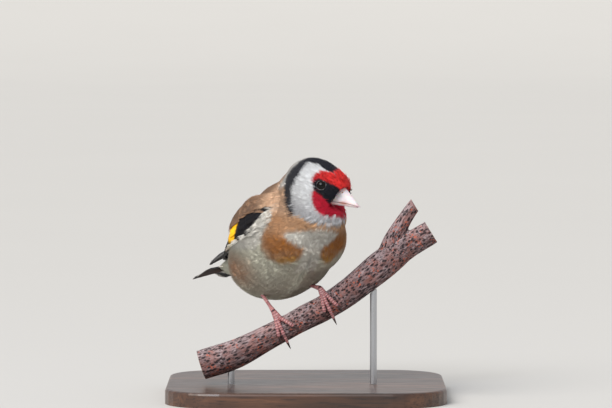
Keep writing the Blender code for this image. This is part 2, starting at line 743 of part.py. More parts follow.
def make_stand(perch, parts):
    """A flat base with rounded corners, and two rods that end just under the perch."""
    bm = bmesh.new()
    matrix = Matrix.Diagonal((BASE_LENGTH * MM, BASE_WIDTH * MM, BASE_HEIGHT * MM, 1.0))
    matrix = Matrix.Translation((0.0, 0.0, BASE_HEIGHT / 2 * MM)) @ matrix
    bmesh.ops.create_cube(bm, size=1.0, matrix=matrix)
    upright = [edge for edge in bm.edges if abs(edge.verts[0].co.z - edge.verts[1].co.z) > 0.001]
    bmesh.ops.bevel(bm, geom=upright, offset=BASE_CORNER * MM, segments=8, profile=0.5, affect="EDGES")
    rim = [edge for edge in bm.edges if min(v.co.z for v in edge.verts) > 0.9 * BASE_HEIGHT * MM]
    bmesh.ops.bevel(bm, geom=rim, offset=BASE_EDGE * MM, segments=2, profile=0.5, affect="EDGES")
    base = object_from_bmesh(bm, "stand_base", parts)
    paint(base, (0.12, 0.07, 0.04), 0.4)
    for number, x in enumerate(ROD_X, 1):
        top = np.interp(x, *perch_points(PERCH_SAMPLES)[:, :2].T)
        points = [Vector((x, PERCH_Y, z)) * MM for z in (BASE_HEIGHT + GAP, top)]
        rod = tube(f"stand_rod_{number}", points, (ROD_RADIUS, ROD_RADIUS), parts, 5)
        boolean(rod, "DIFFERENCE", swollen(perch, "perch gap", parts))
        keep_largest(rod)
        paint(rod, (0.55, 0.55, 0.56), 0.3, 1.0)


def toe_line(start, foot, toe):
    """From the ankle down onto the perch, round it, and then straight on."""
    x, angle, hang = toe
    reach = TOE_RADIUS + GAP + TOE_CLEAR
    first = math.copysign(TOE_FIRST_ANGLE, angle)
    points = [start]
    for share in np.linspace(0.0, 1.0, len(TOE_KNUCKLES) - 2):
        at = foot["at"] + (x - foot["at"]) * (0.3 + 0.7 * share)
        points.append(on_perch(at, first + (angle - first) * share, reach)[0])
    if hang:
        points.append(points[-1] + (points[-1] - points[-2]).normalized() * hang * MM)
    return points


def make_leg(side_name, foot, bare, parts):
    """Shank, ankle joint and four toes round the perch, with a claw beyond each toe."""
    front = Vector((0.0, -ANKLE_FORWARD, 0.0)) * MM
    ankle = on_perch(foot["at"], 0.0, foot["height"] - perch_radius(foot["at"]))[0] + front
    up = Vector(foot["shank"]).normalized()
    top = ankle + up * SHANK_LENGTH * MM
    points = [ankle.lerp(top, share) for share, thickness in SHANK_SECTIONS]
    radii = [SHANK_RADIUS * thickness for share, thickness in SHANK_SECTIONS]
    leg = tube("leg_" + side_name, points, radii, parts, 2)
    pieces = new_collection("toes " + side_name)
    for name, toe in foot["toes"].items():
        line = toe_line(ankle, foot, toe)
        widths = [TOE_RADIUS * share for share in TOE_KNUCKLES[: len(line)]]
        tube("toe", line, widths, pieces, 1)
        make_claw(side_name + "_" + name, line, CLAW_LENGTH[name], parts)
    fuse(leg, pieces)
    boolean(leg, "DIFFERENCE", swollen(bare, "belly gap", parts))
    keep_largest(leg)
    paint(leg, (0.55, 0.38, 0.33), 0.55)


def make_claw(name, line, length, parts):
    """A tapered hook that goes on from the toe and bends towards the perch."""
    way = (line[-1] - line[-2]).normalized()
    axis = (line[3] - line[2]).cross(line[-1] - line[-2]).normalized()
    at = line[-1] + way * GAP * MM
    points = [at]
    for step in range(CLAW_STEPS):
        at = at + way * length / CLAW_STEPS * MM
        points.append(at)
        way = Matrix.Rotation(math.radians(CLAW_BEND), 3, axis) @ way
    radii = [CLAW_RADIUS * (1.1 - step / (CLAW_STEPS + 0.6)) for step in range(CLAW_STEPS + 1)]
    claw = tube("claw_" + name, points, radii, parts, 1)
    paint(claw, (0.12, 0.09, 0.08), 0.35)


def main():
    clear_scene()
    parts = new_collection("goldfinch")
    flesh = make_flesh(parts)
    perch = make_perch(parts)
    make_stand(perch, parts)
    make_bill(flesh, parts)
    head = slab_of(flesh, "head", parts, inner=HEAD_CUT)
    make_eyes(flesh, head, parts)
    paint(head, (0.45, 0.08, 0.05), 0.8)
    neck = slab_of(flesh, "neck", parts, NECK_CUT, HEAD_CUT)
    paint(neck, (0.7, 0.62, 0.52), 0.8)
    behind_neck, off_rump = NECK_CUT, (RUMP_CUT[0], tuple(-value for value in RUMP_CUT[1]))
    torso = slab_of(flesh, "torso", parts, off_rump, behind_neck)
    paint(torso, (0.62, 0.5, 0.38), 0.8)
    rump = slab_of(flesh, "rump", parts, RUMP_CUT, TAIL_CUT)
    paint(rump, (0.7, 0.66, 0.6), 0.8)
    make_tail(flesh, parts)
    make_wing(flesh, 1.0, "wing_left", parts)
    make_wing(flesh, -1.0, "wing_right", parts)
    for side_name, foot in FEET.items():
        make_leg(side_name, foot, flesh, parts)
    bpy.data.objects.remove(flesh)
    for obj in parts.objects:
        obj.data.shade_smooth()
        obj.data.set_sharp_from_angle(angle=SHARP_FROM)


main()
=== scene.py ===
import math

import bmesh
import bpy
import numpy as np
from mathutils import Matrix, Vector, noise
from mathutils.bvhtree import BVHTree


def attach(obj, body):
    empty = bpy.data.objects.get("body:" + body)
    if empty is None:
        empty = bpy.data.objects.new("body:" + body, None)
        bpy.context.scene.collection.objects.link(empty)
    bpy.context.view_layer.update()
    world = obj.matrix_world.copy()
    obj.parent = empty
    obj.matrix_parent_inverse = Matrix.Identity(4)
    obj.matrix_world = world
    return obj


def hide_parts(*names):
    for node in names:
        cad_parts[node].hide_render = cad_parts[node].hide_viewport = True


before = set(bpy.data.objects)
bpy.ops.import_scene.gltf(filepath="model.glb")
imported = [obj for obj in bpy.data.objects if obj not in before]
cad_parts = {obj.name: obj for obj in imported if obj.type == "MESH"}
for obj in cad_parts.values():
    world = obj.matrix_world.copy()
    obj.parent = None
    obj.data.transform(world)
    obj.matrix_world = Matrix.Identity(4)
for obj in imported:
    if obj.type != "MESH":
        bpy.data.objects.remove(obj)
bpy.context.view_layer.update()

mm = 0.001

# how the bird stands, with the same numbers as the solids
birdStance = {
    "feetAt": (-3.0, -12.0, 38.0),
    "bodyTurn": -55.0,
    "headAt": (17.0, 0.0, 48.2),
    "headTurn": 26.0,
    "headTip": 25.6,
    "tailAt": (-18.0, 0.0, 17.6),
    "tailDrop": 9.8,
}
bodyFrame = (
    Matrix.Translation(birdStance["feetAt"]) @ Matrix.Rotation(math.radians(birdStance["bodyTurn"]), 4, "Z")
)
headFrame = (
    bodyFrame
    @ Matrix.Translation(birdStance["headAt"])
    @ Matrix.Rotation(math.radians(birdStance["headTurn"]), 4, "Z")
    @ Matrix.Rotation(math.radians(birdStance["headTip"]), 4, "Y")
)
tailFrame = (
    bodyFrame
    @ Matrix.Translation(birdStance["tailAt"])
    @ Matrix.Rotation(-math.radians(birdStance["tailDrop"]), 4, "Y")
)


def say(stage):
    print("scene:", stage, flush=True)


def linear(colour):  # sRGB hex to linear red, green and blue
    parts = [int(colour[n:n + 2], 16) / 255 for n in (0, 2, 4)]
    return tuple(p / 12.92 if p <= 0.04045 else ((p + 0.055) / 1.055) ** 2.4 for p in parts)


def opaque(colour):
    return (*linear(colour), 1)


def place(where, point):  # mm in one of the bird's frames to metres in the scene
    return (where @ Vector(point)) * mm


def inFrame(where, points):  # metres in the scene to mm in one of the bird's frames, many at once
    back = np.array(where.inverted())
    return (points / mm) @ back[:3, :3].T + back[:3, 3]


def ramp(value, low, high):  # 0 below low, 1 above high, smooth between
    t = np.clip((value - low) / (high - low), 0.0, 1.0)
    return t * t * (3 - 2 * t)


def fall(value, low, high):  # 1 below low, 0 above high
    return ramp(-value, -high, -low)


def unit(vectors):
    return vectors / np.maximum(np.linalg.norm(vectors, axis=-1, keepdims=True), 1e-12)


def clearSelection():
    if bpy.context.mode != "OBJECT":
        bpy.ops.object.mode_set(mode="OBJECT")
    bpy.ops.object.select_all(action="DESELECT")


def pick(*objs):  # selects these alone and makes the first one active
    clearSelection()
    for obj in objs:
        obj.select_set(True)
    bpy.context.view_layer.objects.active = objs[0]


def settle(obj):  # the place goes into the mesh, and the object back to the origin
    pick(obj)
    bpy.ops.object.transform_apply(location=True, rotation=True, scale=True)


def applyAll(obj):
    pick(obj)
    for modifier in list(obj.modifiers):
        bpy.ops.object.modifier_apply(modifier=modifier.name)


def smoothLine(knots, count):  # a smooth curve through the knots
    knots = np.array(knots, float)
    padded = np.vstack([2 * knots[0] - knots[1], knots, 2 * knots[-1] - knots[-2]])
    points = []
    for value in np.linspace(0.0, len(knots) - 1.0, count):
        n = min(int(value), len(knots) - 2)
        t = value - n
        a, b, c, d = padded[n:n + 4]
        points.append(
            0.5 * (2 * b + (c - a) * t + (2 * a - 5 * b + 4 * c - d) * t**2 + (3 * b - a - 3 * c + d) * t**3)
        )
    return np.array(points)


def closeSeams():  # of the active mesh
    bpy.ops.object.mode_set(mode="EDIT")
    bpy.ops.mesh.select_all(action="SELECT")
    bpy.ops.mesh.remove_doubles(threshold=1e-6)
    bpy.ops.mesh.normals_make_consistent(inside=False)
    bpy.ops.object.mode_set(mode="OBJECT")


# a path curve with a round bevel, turned into a mesh with round ends
def tubeAlong(name, points, radii, sides=16):
    clearSelection()
    bpy.ops.curve.primitive_nurbs_path_add(location=(0, 0, 0))
    guide = bpy.context.object
    guide.name = name
    curve = guide.data
    curve.splines.clear()
    curve.bevel_depth = mm
    curve.bevel_resolution = max(0, sides // 4 - 1)
    curve.use_fill_caps = True
    spline = curve.splines.new("POLY")
    spline.points.add(len(points) - 1)
    for knot, point, radius in zip(spline.points, points, radii):
        knot.co = (*point, 1.0)
        knot.radius = radius
    pick(guide)
    bpy.ops.object.convert(target="MESH")
    tube = bpy.context.object
    closeSeams()
    tube.data.materials.clear()
    return tube


def joined(name, objs):
    pick(*objs)
    if len(objs) > 1:
        bpy.ops.object.join()
    whole = bpy.context.object
    whole.name = name
    whole.data.name = name
    return whole


def finishPiece(obj, material, replaced=()):
    settle(obj)
    obj.data.materials.clear()
    obj.data.materials.append(material)
    obj.data.shade_smooth()
    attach(obj, "root")
    if replaced:
        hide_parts(*replaced)
    return obj


def addNode(material, kind, inputs=None, **settings):
    made = material.node_tree.nodes.new("ShaderNode" + kind)
    for name, value in settings.items():
        setattr(made, name, value)
    for name, value in (inputs or {}).items():
        if isinstance(value, bpy.types.NodeSocket):
            material.node_tree.links.new(value, made.inputs[name])
        else:
            made.inputs[name].default_value = value
    return made


def newMaterial(name, sockets):
    material = bpy.data.materials.new(name)
    material.use_nodes = True
    for socket, value in sockets.items():
        material.node_tree.nodes["Principled BSDF"].inputs[socket].default_value = value
    return material


def wire(material, output, socket):
    material.node_tree.links.new(output, material.node_tree.nodes["Principled BSDF"].inputs[socket])


# each of these adds one node and gives its output
def attribute(material, name, output="Fac"):
    return addNode(material, "Attribute", attribute_name=name).outputs[output]


def noiseOn(material, vector, scale, detail, more=None):
    return (
        addNode(
            material, "TexNoise", {"Vector": vector, "Scale": scale, "Detail": detail, **(more or {})}
        ).outputs["Fac"]
    )


def stretchedOn(material, vector, scale):
    return addNode(material, "Mapping", {"Vector": vector, "Scale": scale}).outputs["Vector"]


def ranged(material, value, low, high, toLow=0.0, toHigh=1.0):
    inputs = {"Value": value, "From Min": low, "From Max": high, "To Min": toLow, "To Max": toHigh}
    return addNode(material, "MapRange", inputs).outputs["Result"]


def maths(material, operation, *values):
    return addNode(material, "Math", dict(enumerate(values)), operation=operation).outputs["Value"]


def mixOf(material, share, first, second):
    return addNode(material, "MixRGB", {"Fac": share, "Color1": first, "Color2": second}).outputs["Color"]


def toneOf(material, value, stops):  # the two ends first, then the stops between them
    made = addNode(material, "ValToRGB", {"Fac": value})
    for n, (position, colour) in enumerate(stops):
        stop = made.color_ramp.elements[n] if n < 2 else made.color_ramp.elements.new(position)
        stop.position, stop.color = position, opaque(colour)
    return made.outputs["Color"]


def colourTimes(material, colour, share):
    made = addNode(material, "VectorMath", {0: colour, "Scale": share}, operation="SCALE")
    wire(material, made.outputs["Vector"], "Base Color")


def addBump(material, height, strength, distance):
    made = addNode(material, "Bump", {"Height": height, "Strength": strength, "Distance": distance})
    wire(material, made.outputs["Normal"], "Normal")


eyes = {
    "radius": 2.5,
    "onSide": (3.2, 2.5),
    "proud": 0.25,
    "opening": 1.9,
    "iris": "120a07",
    "pupil": "030303",
}

# colours of the plumage are one function of place, for skin and feathers alike
plumage = {
    "red": "d62638",
    # painted light and shade on the red: a brighter red for the top of the head and a deeper red for
    # underneath
    "redPaintedLight": "e8392c",
    "redPaintedShade": "be1a40",
    "black": "1a1a22",
    "crown": "22222c",
    "white": "eceef0",
    # painted shade for the lower cheek
    "cheekLowShade": "b4b3b7",
    "nape": "f4f2ee",
    "neckBrown": "e2bb9a",
    "mantle": "a98468",
    "mantleDark": "6f5a4c",
    "sideBrown": "c9976c",
    "patch": "b3702a",
    "patchEdge": "dba33a",
    "breastWhite": "e6e3da",
    "belly": "dad8c6",
    "flank": "ae8262",
    "rump": "e0d8ca",
}
# in the head's frame, round the bill's axis: the angle from the crown, and the angle back from the bill
redBackEdge = (
    (0, 74), (12, 74), (20, 69), (27, 66), (31, 78), (35, 86), (40, 90), (46, 97), (60, 99), (75, 96),
    (85, 87), (94, 83),
    (112, 80), (121, 77), (133, 68), (139, 59.5), (148, 47), (163, 36.5), (180, 33.5),
)
bandFrontEdge = (
    (0, 74), (12, 74), (20, 69), (27, 66), (30, 86), (31.5, 104), (33, 122), (37, 132), (58, 130), (75, 128),
    (91, 127),
    (110, 129.5), (126, 128), (137, 118), (142, 107), (145, 99), (180, 99),
)
bandBackEdge = (
    (0, 148), (40, 150), (51, 151), (74, 154), (97, 154.5), (110, 156), (123, 156), (136, 153), (140, 148),
    (144, 137),
    (145.5, 122), (146, 108), (147, 100), (180, 100),
)
loreTopEdge = (
    (0, 75), (20, 62), (30, 52), (37, 51), (50, 56), (59, 58), (66, 60), (75, 64), (87, 66), (91, 72),
    (95, 90)
)
loreLowEdge = (
    (0, 180), (14, 178), (20, 150), (27, 133), (40, 119), (52, 103), (62, 98), (72, 96), (80, 93), (91, 86),
    (95, 84)
)
bibEdge = ((-10, -13.6), (-8.5, -13.4), (-2.6, -12.2), (7.4, -10.2), (12, -9.5))
# the part of the wing that shows, in the body's frame from the side: the back's feathers lie over
# it from above and the side's from below
coverForm = {
    "top": (
        (-26, 25.0), (-20, 29.3), (-15, 32.3), (-10.7, 34.4), (-3.9, 37.5), (0.8, 39.9), (5.1, 42.2),
        (8, 43.5)
    ),
    "low": (
        (-30, 24.5), (-22, 24.0), (-18.7, 23.6), (-12.9, 25.9), (-8.9, 26.6), (-4.8, 29.1), (-0.5, 33.3),
        (1.4, 37.3), (3.2, 39.5), (5.1, 42.2), (8, 46)
    ),
    "rearmost": -23.0,
}
# in the body's frame
breastMidline = ((0, -1), (8, -3), (12, -4), (20, -5.5), (30, -5.5), (40, -4))
bellyFold = ((8, -3), (20, -5.8))
sideStripEdge = ((12, -14), (20, -8), (23, -2.5), (26.7, 1), (33, 3.7), (40, 3.6), (46, 2))


def between(edge, at):
    return np.interp(at, [a for a, b in edge], [b for a, b in edge])


def markings(points, wander):
    # wander holds three random numbers for each point, to fray the edges
    inHead = inFrame(headFrame, points)
    inBody = inFrame(bodyFrame, points)
    reach = np.linalg.norm(inHead, axis=1)
    back = np.degrees(np.arccos(np.clip(inHead[:, 0] / reach, -1, 1))) + wander[:, 0] * 3.0
    roll = np.degrees(np.arctan2(np.abs(inHead[:, 1]), inHead[:, 2])) + wander[:, 1] * 2.5
    x, y, z = inBody.T
    x = x + wander[:, 0] * 0.6
    z = z + wander[:, 1] * 0.6
    headZ = inHead[:, 2] + wander[:, 2] * 0.5
    # the far cheek shows less red under the bill
    roll = (
        roll + ramp(roll, 104.0, 128.0) * 9.0 * ramp(inHead[:, 1], 1.0, 4.0) * (1 - ramp(roll, 150.0, 170.0))
    )
    shade = {name: np.array(linear(colour)) for name, colour in plumage.items()}
    colours = np.tile(shade["belly"], (len(points), 1))

    def lay(name, amount):
        amount = np.clip(amount, 0, 1)[:, None]
        colours[:] = colours * (1 - amount) + shade[name] * amount

    offMid = np.abs(y - between(breastMidline, z))
    # back, rump and flanks
    wingMiddle = (between(coverForm["top"], x) + between(coverForm["low"], x)) / 2
    overWing = ramp(z - wingMiddle, -0.3, 0.3) * fall(x, 5.0, 8.0)
    lay(
        "mantle",
        np.maximum(ramp(z + 0.35 * x, 26.0, 30.0) * fall(x, 6.0, 14.0), overWing * ramp(x, -26.0, -22.0))
    )
    lay(
        "mantleDark",
        0.45 * overWing * np.exp(-(((z - between(coverForm["top"], x) - 1.5) / 1.6) ** 2))
        * ramp(x, -12.0, -4.0)
    )
    lay("rump", fall(x, -25.0, -20.0) * ramp(z, 14.0, 18.0))
    lay(
        "flank",
        (1 - ramp(np.hypot((x + 17) / 10.5, (z - 14.0) / 7.5), 0.2, 1.55))
        * (0.85 + 0.3 * np.clip(wander[:, 2], -1.5, 1))
    )
    # the breast's sides and the warm patches, round a whitish middle
    lay("sideBrown", ramp(z, 20.5, 24.0) * ramp(x, 0.0, 3.0) * fall(z, 40.0, 44.0) * 0.9)
    lay("neckBrown", ramp(z, 35.0, 39.0) * ramp(x, -4.0, 1.0))
    patchLow = 18.2 + 0.09 * (offMid - 8.0) ** 2
    patchHigh = 23.0 + 0.055 * offMid**2
    patchAmount = ramp(z, patchLow - 1.0, patchLow + 1.2) * fall(z, 26.0, 31.5) * ramp(x, -1.0, 6.0)
    lay("patch", patchAmount * ramp(offMid, 2.4, 4.2) * (0.85 + 0.15 * np.clip(wander[:, 2] * 2, -1, 1)))
    lay(
        "patchEdge",
        0.75 * np.exp(-(((z - patchLow - 0.6) / 1.0) ** 2)) * ramp(offMid, 4.0, 6.0) * fall(offMid, 8.0, 12.0)
        * ramp(x, 4.0, 8.0)
    )
    bandTop = 30.9 - 0.013 * offMid**2
    whiteMiddle = (
        ramp(z, patchHigh - 0.8, patchHigh + 0.8) * fall(z, bandTop - 1.0, bandTop + 1.0) * ramp(x, 9.5, 13.0)
    )
    lay("breastWhite", whiteMiddle)
    lay(
        "breastWhite",
        fall(offMid, 2.4, 4.6) * fall(z, bandTop - 1.0, bandTop + 1.0) * ramp(x, 5.0, 9.0)
        * ramp(z, 12.0, 16.0) * 0.8
    )
    side = between(sideStripEdge, z)
    lay(
        "breastWhite",
        ramp(side - x, -1.2, 1.2) * ramp(x, -20.0, -14.0) * ramp(z, 21.0, 24.5) * fall(z, 39.0, 42.0)
        * ramp(np.abs(y), 11.0, 13.0) * (1 - overWing)
    )
    # the head
    bibLow = between(bibEdge, inHead[:, 1])
    onHead = ramp(headZ - bibLow, -0.5, 0.6)
    onHead = (
        onHead * fall(reach, 19.0, 22.0)
        * fall(back, between(bandFrontEdge, roll), between(bandFrontEdge, roll) + 3.0)
    )
    lay("white", onHead)
    # painted shade: the white cheek turns grey towards the bottom
    lay("cheekLowShade", onHead * 0.6 * fall(headZ, -11.0, -5.0))
    nape = ramp(back, 146.0, 150.0) * ramp(inHead[:, 0], -18.0, -14.5) * ramp(headZ, -12.0, -8.0)
    nape = nape * (1 - 0.75 * ramp(back, 160.0, 170.0))
    lay("nape", nape * 0.95)
    bandBack = between(bandBackEdge, roll)
    bandFront = between(bandFrontEdge, roll)
    band = ramp(back, bandFront - 1.5, bandFront + 1.5) * fall(back, bandBack - 1.5, bandBack + 1.5)
    band = band * fall(roll, 145.5, 147.5) * fall(reach, 20.0, 24.0)
    lay("crown", band)
    redBack = between(redBackEdge, roll)
    red = fall(back, redBack - 1.5, redBack + 1.5) * fall(reach, 17.0, 20.0)
    lay("red", red)
    # painted light and shade: the red brighter at the top of the head and deeper below the eye and bill
    lay("redPaintedLight", red * 0.6 * fall(roll, 50.0, 75.0))
    lay("redPaintedShade", red * 0.45 * ramp(roll, 95.0, 110.0))
    loreTop = between(loreTopEdge, back)
    loreLow = between(loreLowEdge, back)
    lore = (
        ramp(roll, loreTop - 2.5, loreTop + 2.5) * fall(roll, loreLow - 3.0, loreLow + 3.0)
        * fall(back, 88.0, 93.0)
    )
    billRing = fall(back, 21.0, 25.0)
    # a dark rim round each eye, open at its top
    fromEye = inHead - np.stack(
        [
            np.full(len(points), eyes["onSide"][0]), np.sign(inHead[:, 1]) * 9.0,
            np.full(len(points), eyes["onSide"][1])
        ],
        axis=1
    )
    around = np.hypot(fromEye[:, 0] * 0.92, fromEye[:, 2])
    rim = fall(around, 2.7, 3.3) * fall(fromEye[:, 2], 1.6, 2.4) * (np.abs(fromEye[:, 1]) < 4)
    lay("black", np.maximum.reduce([lore * fall(reach, 17.0, 20.0), billRing * fall(reach, 16.0, 18.0), rim]))
    # painted shade in a fold down the middle of the belly
    foldShade = (
        np.exp(-(((y - between(bellyFold, z)) / 0.7) ** 2)) * ramp(x, 1.0, 6.0) * ramp(z, 7.0, 11.0)
        * fall(z, 19.0, 22.5)
    )
    return colours * (1 - 0.3 * foldShade)[:, None]


# bare form under the feathers, as in the solids: centre, half sizes and lift of the front end, in mm
bareForm = {
    "body": (
        ((-9.0, 0.0, 24.2), (27.5, 20.0, 19.0), 40.0),
        ((3.0, 0.0, 27.5), (15.0, 17.8, 16.0), 60.0),
        ((-6.5, 0.0, 18.9), (18.0, 17.0, 14.0), 21.0),
        ((-10.5, 0.0, 34.6), (19.5, 13.8, 11.5), 40.0),
        ((12.0, 0.0, 36.0), (10.5, 12.0, 11.5), 60.0),
        ((8.0, 0.0, 38.5), (12.5, 13.0, 13.5), 50.0),
        ((5.0, 0.0, 44.0), (12.0, 11.5, 11.0), 40.0),
        ((-23.0, 0.0, 21.2), (19.0, 13.0, 9.8), 26.0),
        ((-34.0, 0.0, 15.6), (19.0, 8.2, 4.4), 12.0),
    ),
    "head": (
        ((-2.8, 0.0, -1.3), (12.8, 10.1, 10.0), 0.0),
        ((3.3, 0.0, 0.3), (8.2, 8.6, 8.1), 0.0),
        ((3.4, 0.0, -6.0), (8.2, 6.8, 5.6), 10.0),
    ),
    "voxel": 0.7,
    "smoothings": 78,
    "swell": 0.8,
    "coatDepth": 0.85,
    "faceCoatDepth": 0.4,
    "skinShade": 0.8,
    "eyeGap": 0.12,
}


def makeFlesh():
    lumps = []
    for where, part in ((bodyFrame, "body"), (headFrame, "head")):
        for centre, halves, lift in bareForm[part]:
            matrix = where @ Matrix.Translation(centre) @ Matrix.Rotation(math.radians(-lift), 4, "Y")
            clearSelection()
            bpy.ops.mesh.primitive_uv_sphere_add(
                segments=48,
                ring_count=30,
                radius=1.0,
                location=matrix.to_translation() * mm,
                rotation=matrix.to_euler(),
                scale=[half * mm for half in halves],
            )
            lumps.append(bpy.context.object)
    flesh = joined("flesh", lumps)
    settle(flesh)
    remesh = flesh.modifiers.new("one skin", "REMESH")
    remesh.mode = "VOXEL"
    remesh.voxel_size = bareForm["voxel"] * mm
    blend = flesh.modifiers.new("blend", "SMOOTH")
    blend.factor = 0.5
    blend.iterations = bareForm["smoothings"]
    swell = flesh.modifiers.new("swell", "DISPLACE")
    swell.strength = bareForm["swell"] * mm
    swell.mid_level = 0.0
    applyAll(flesh)
    return flesh


faceForm = {
    "billLine": ((-6, 8.7), (-4.4, 6.4), (0, 7.7), (3.0, 8.6), (4.5, 9.6), (5.5, 13.0)),
    "billHalves": (4.1, 5.0), "slope": 3.2
}


def treeOf(obj, where=None):
    obj.data.calc_loop_triangles()
    back = Matrix.Identity(4) if where is None else where.inverted() @ Matrix.Scale(1 / mm, 4)
    corners = [back @ v.co for v in obj.data.vertices]
    return BVHTree.FromPolygons(corners, [tuple(t.vertices) for t in obj.data.loop_triangles])


say("skin")
flesh = makeFlesh()
fleshInBody = treeOf(flesh, bodyFrame)
fleshInHead = treeOf(flesh, headFrame)


def eyeCentre(side):
    start = Vector((eyes["onSide"][0], side * 40.0, eyes["onSide"][1]))
    hit, normal = fleshInHead.ray_cast(start, Vector((0.0, -side, 0.0)))[:2]
    return hit - normal * (eyes["radius"] - eyes["proud"]), normal


eyeSpots = {side: eyeCentre(side) for side in (1.0, -1.0)}


def makeSkin():
    skin = flesh
    skin.name = "skin"
    count = len(skin.data.vertices)
    co = np.empty(count * 3)
    normals = np.empty(count * 3)
    skin.data.vertices.foreach_get("co", co)
    skin.data.vertex_normals.foreach_get("vector", normals)
    co, normals = co.reshape(-1, 3), normals.reshape(-1, 3)
    inHead = inFrame(headFrame, co)
    face = ramp(-np.linalg.norm(inHead - np.array((3.0, 0, 0)), axis=1), -19.0, -13.0)
    depth = bareForm["coatDepth"] * (1 - face) + bareForm["faceCoatDepth"] * face
    co = co - normals * (depth * mm)[:, None]
    # the face draws back to the line where the bill begins
    inHead = inFrame(headFrame, co)
    hx, hy, hz = inHead.T
    line = between(faceForm["billLine"], hz)
    aside = np.hypot(hy / faceForm["billHalves"][0], (hz - 0.2) / faceForm["billHalves"][1])
    limit = line + faceForm["slope"] * np.clip(aside - 1, 0, 3)
    within = ramp(hz, -6.2, -4.6) * (np.abs(hy) < 9) * (hx > 4)
    back = np.clip(hx - limit, 0, 6) * within
    co = co - np.outer(back * mm, np.array((headFrame.to_3x3() @ Vector((1, 0, 0)))))
    # a hollow for each eye, so that the ball sits in the head
    for centre, normal in eyeSpots.values():
        middle = np.array(place(headFrame, centre))
        away = co - middle
        far = np.linalg.norm(away, axis=1)
        keep = (eyes["radius"] + bareForm["eyeGap"]) * mm
        inside = far < keep
        outward = np.array((headFrame.to_3x3() @ normal).normalized())
        along = away @ outward
        ring = away - along[:, None] * outward
        ringFar = np.linalg.norm(ring, axis=1)
        ringTo = eyes["opening"] * mm
        bare = inside & (ringFar < ringTo) & (along > 0)
        co[bare] = middle + along[bare, None] * outward * 0.3 + ring[bare] * 0.9
    skin.data.vertices.foreach_set("co", co.ravel())
    skin.data.update()
    pick(skin)
    bpy.ops.object.mode_set(mode="EDIT")
    bpy.ops.mesh.select_all(action="SELECT")
    bpy.ops.uv.smart_project(angle_limit=math.radians(66), island_margin=0.004)
    bpy.ops.object.mode_set(mode="OBJECT")
    skin.data.uv_layers[0].name = "OFBake"
    # the skin deep under the coat takes the plumage's colours darkened, as painted shade
    paintPoints(skin, markings(co, np.zeros((count, 3))) * bareForm["skinShade"])
    return skin


def paintPoints(obj, colours):
    layer = obj.data.color_attributes.new("featherColour", "FLOAT_COLOR", "POINT")
    values = np.ones((len(obj.data.vertices), 4), np.float32)
    values[:, :3] = colours
    layer.data.foreach_set("color", values.ravel())


def contourFeatherMaterial():
    # keratin barbs that part and lie soft: dull, with a thin sheen at a grazing angle; the colours grow
    # darker in the depth of the coat, partly from the grey down at the feathers' bases and partly as painted
    # shade
    material = newMaterial(
        "ContourFeatherSoft",
        {
            "Roughness": 0.8, "IOR": 1.54, "Sheen Weight": 0.05, "Sheen Roughness": 0.4,
            "Specular IOR Level": 0.12
        }
    )
    colour = attribute(material, "featherColour", "Color")
    where = addNode(material, "TexCoord").outputs["Object"]
    barbs = noiseOn(material, where, 1900.0, 2.0)  # about 0.5 mm
    patches = noiseOn(material, where, 240.0, 3.0)  # about 4 mm
    light = ranged(material, barbs, 0.3, 0.7, 0.95, 1.04)
    wide = ranged(material, patches, 0.3, 0.7, 0.93, 1.06)
    both = maths(material, "MULTIPLY", light, wide)
    colourTimes(material, colour, both)
    return material


softFeather = contourFeatherMaterial()
skin = makeSkin()
skinTree = treeOf(skin)
finishPiece(skin, softFeather, ("head", "neck", "torso", "rump"))
say("skin has %d faces" % len(skin.data.polygons))


# folded wings and tail: every feather is a copy of one blank, laid on a bed
wingForm = {
    "low": ((-60.0, 12.0), (-42.0, 16.0), (-27.0, 21.2), (-14.0, 26.2), (-3.0, 32.5), (9.0, 39.8)),
    "floor": (
        (-60.0, 4.0), (-50.0, 6.4), (-42.0, 8.0), (-35.0, 10.4), (-27.0, 13.9), (-20.0, 16.3), (-12.0, 15.5),
        (6.0, 0.0),
    ),
    "lean": ((-60.0, 1.1), (-42.0, 1.1), (-35.0, 0.7), (-27.0, 0.25), (-18.0, 0.0)),
    "rounding": 190.0,
    "step": 1.5,
}
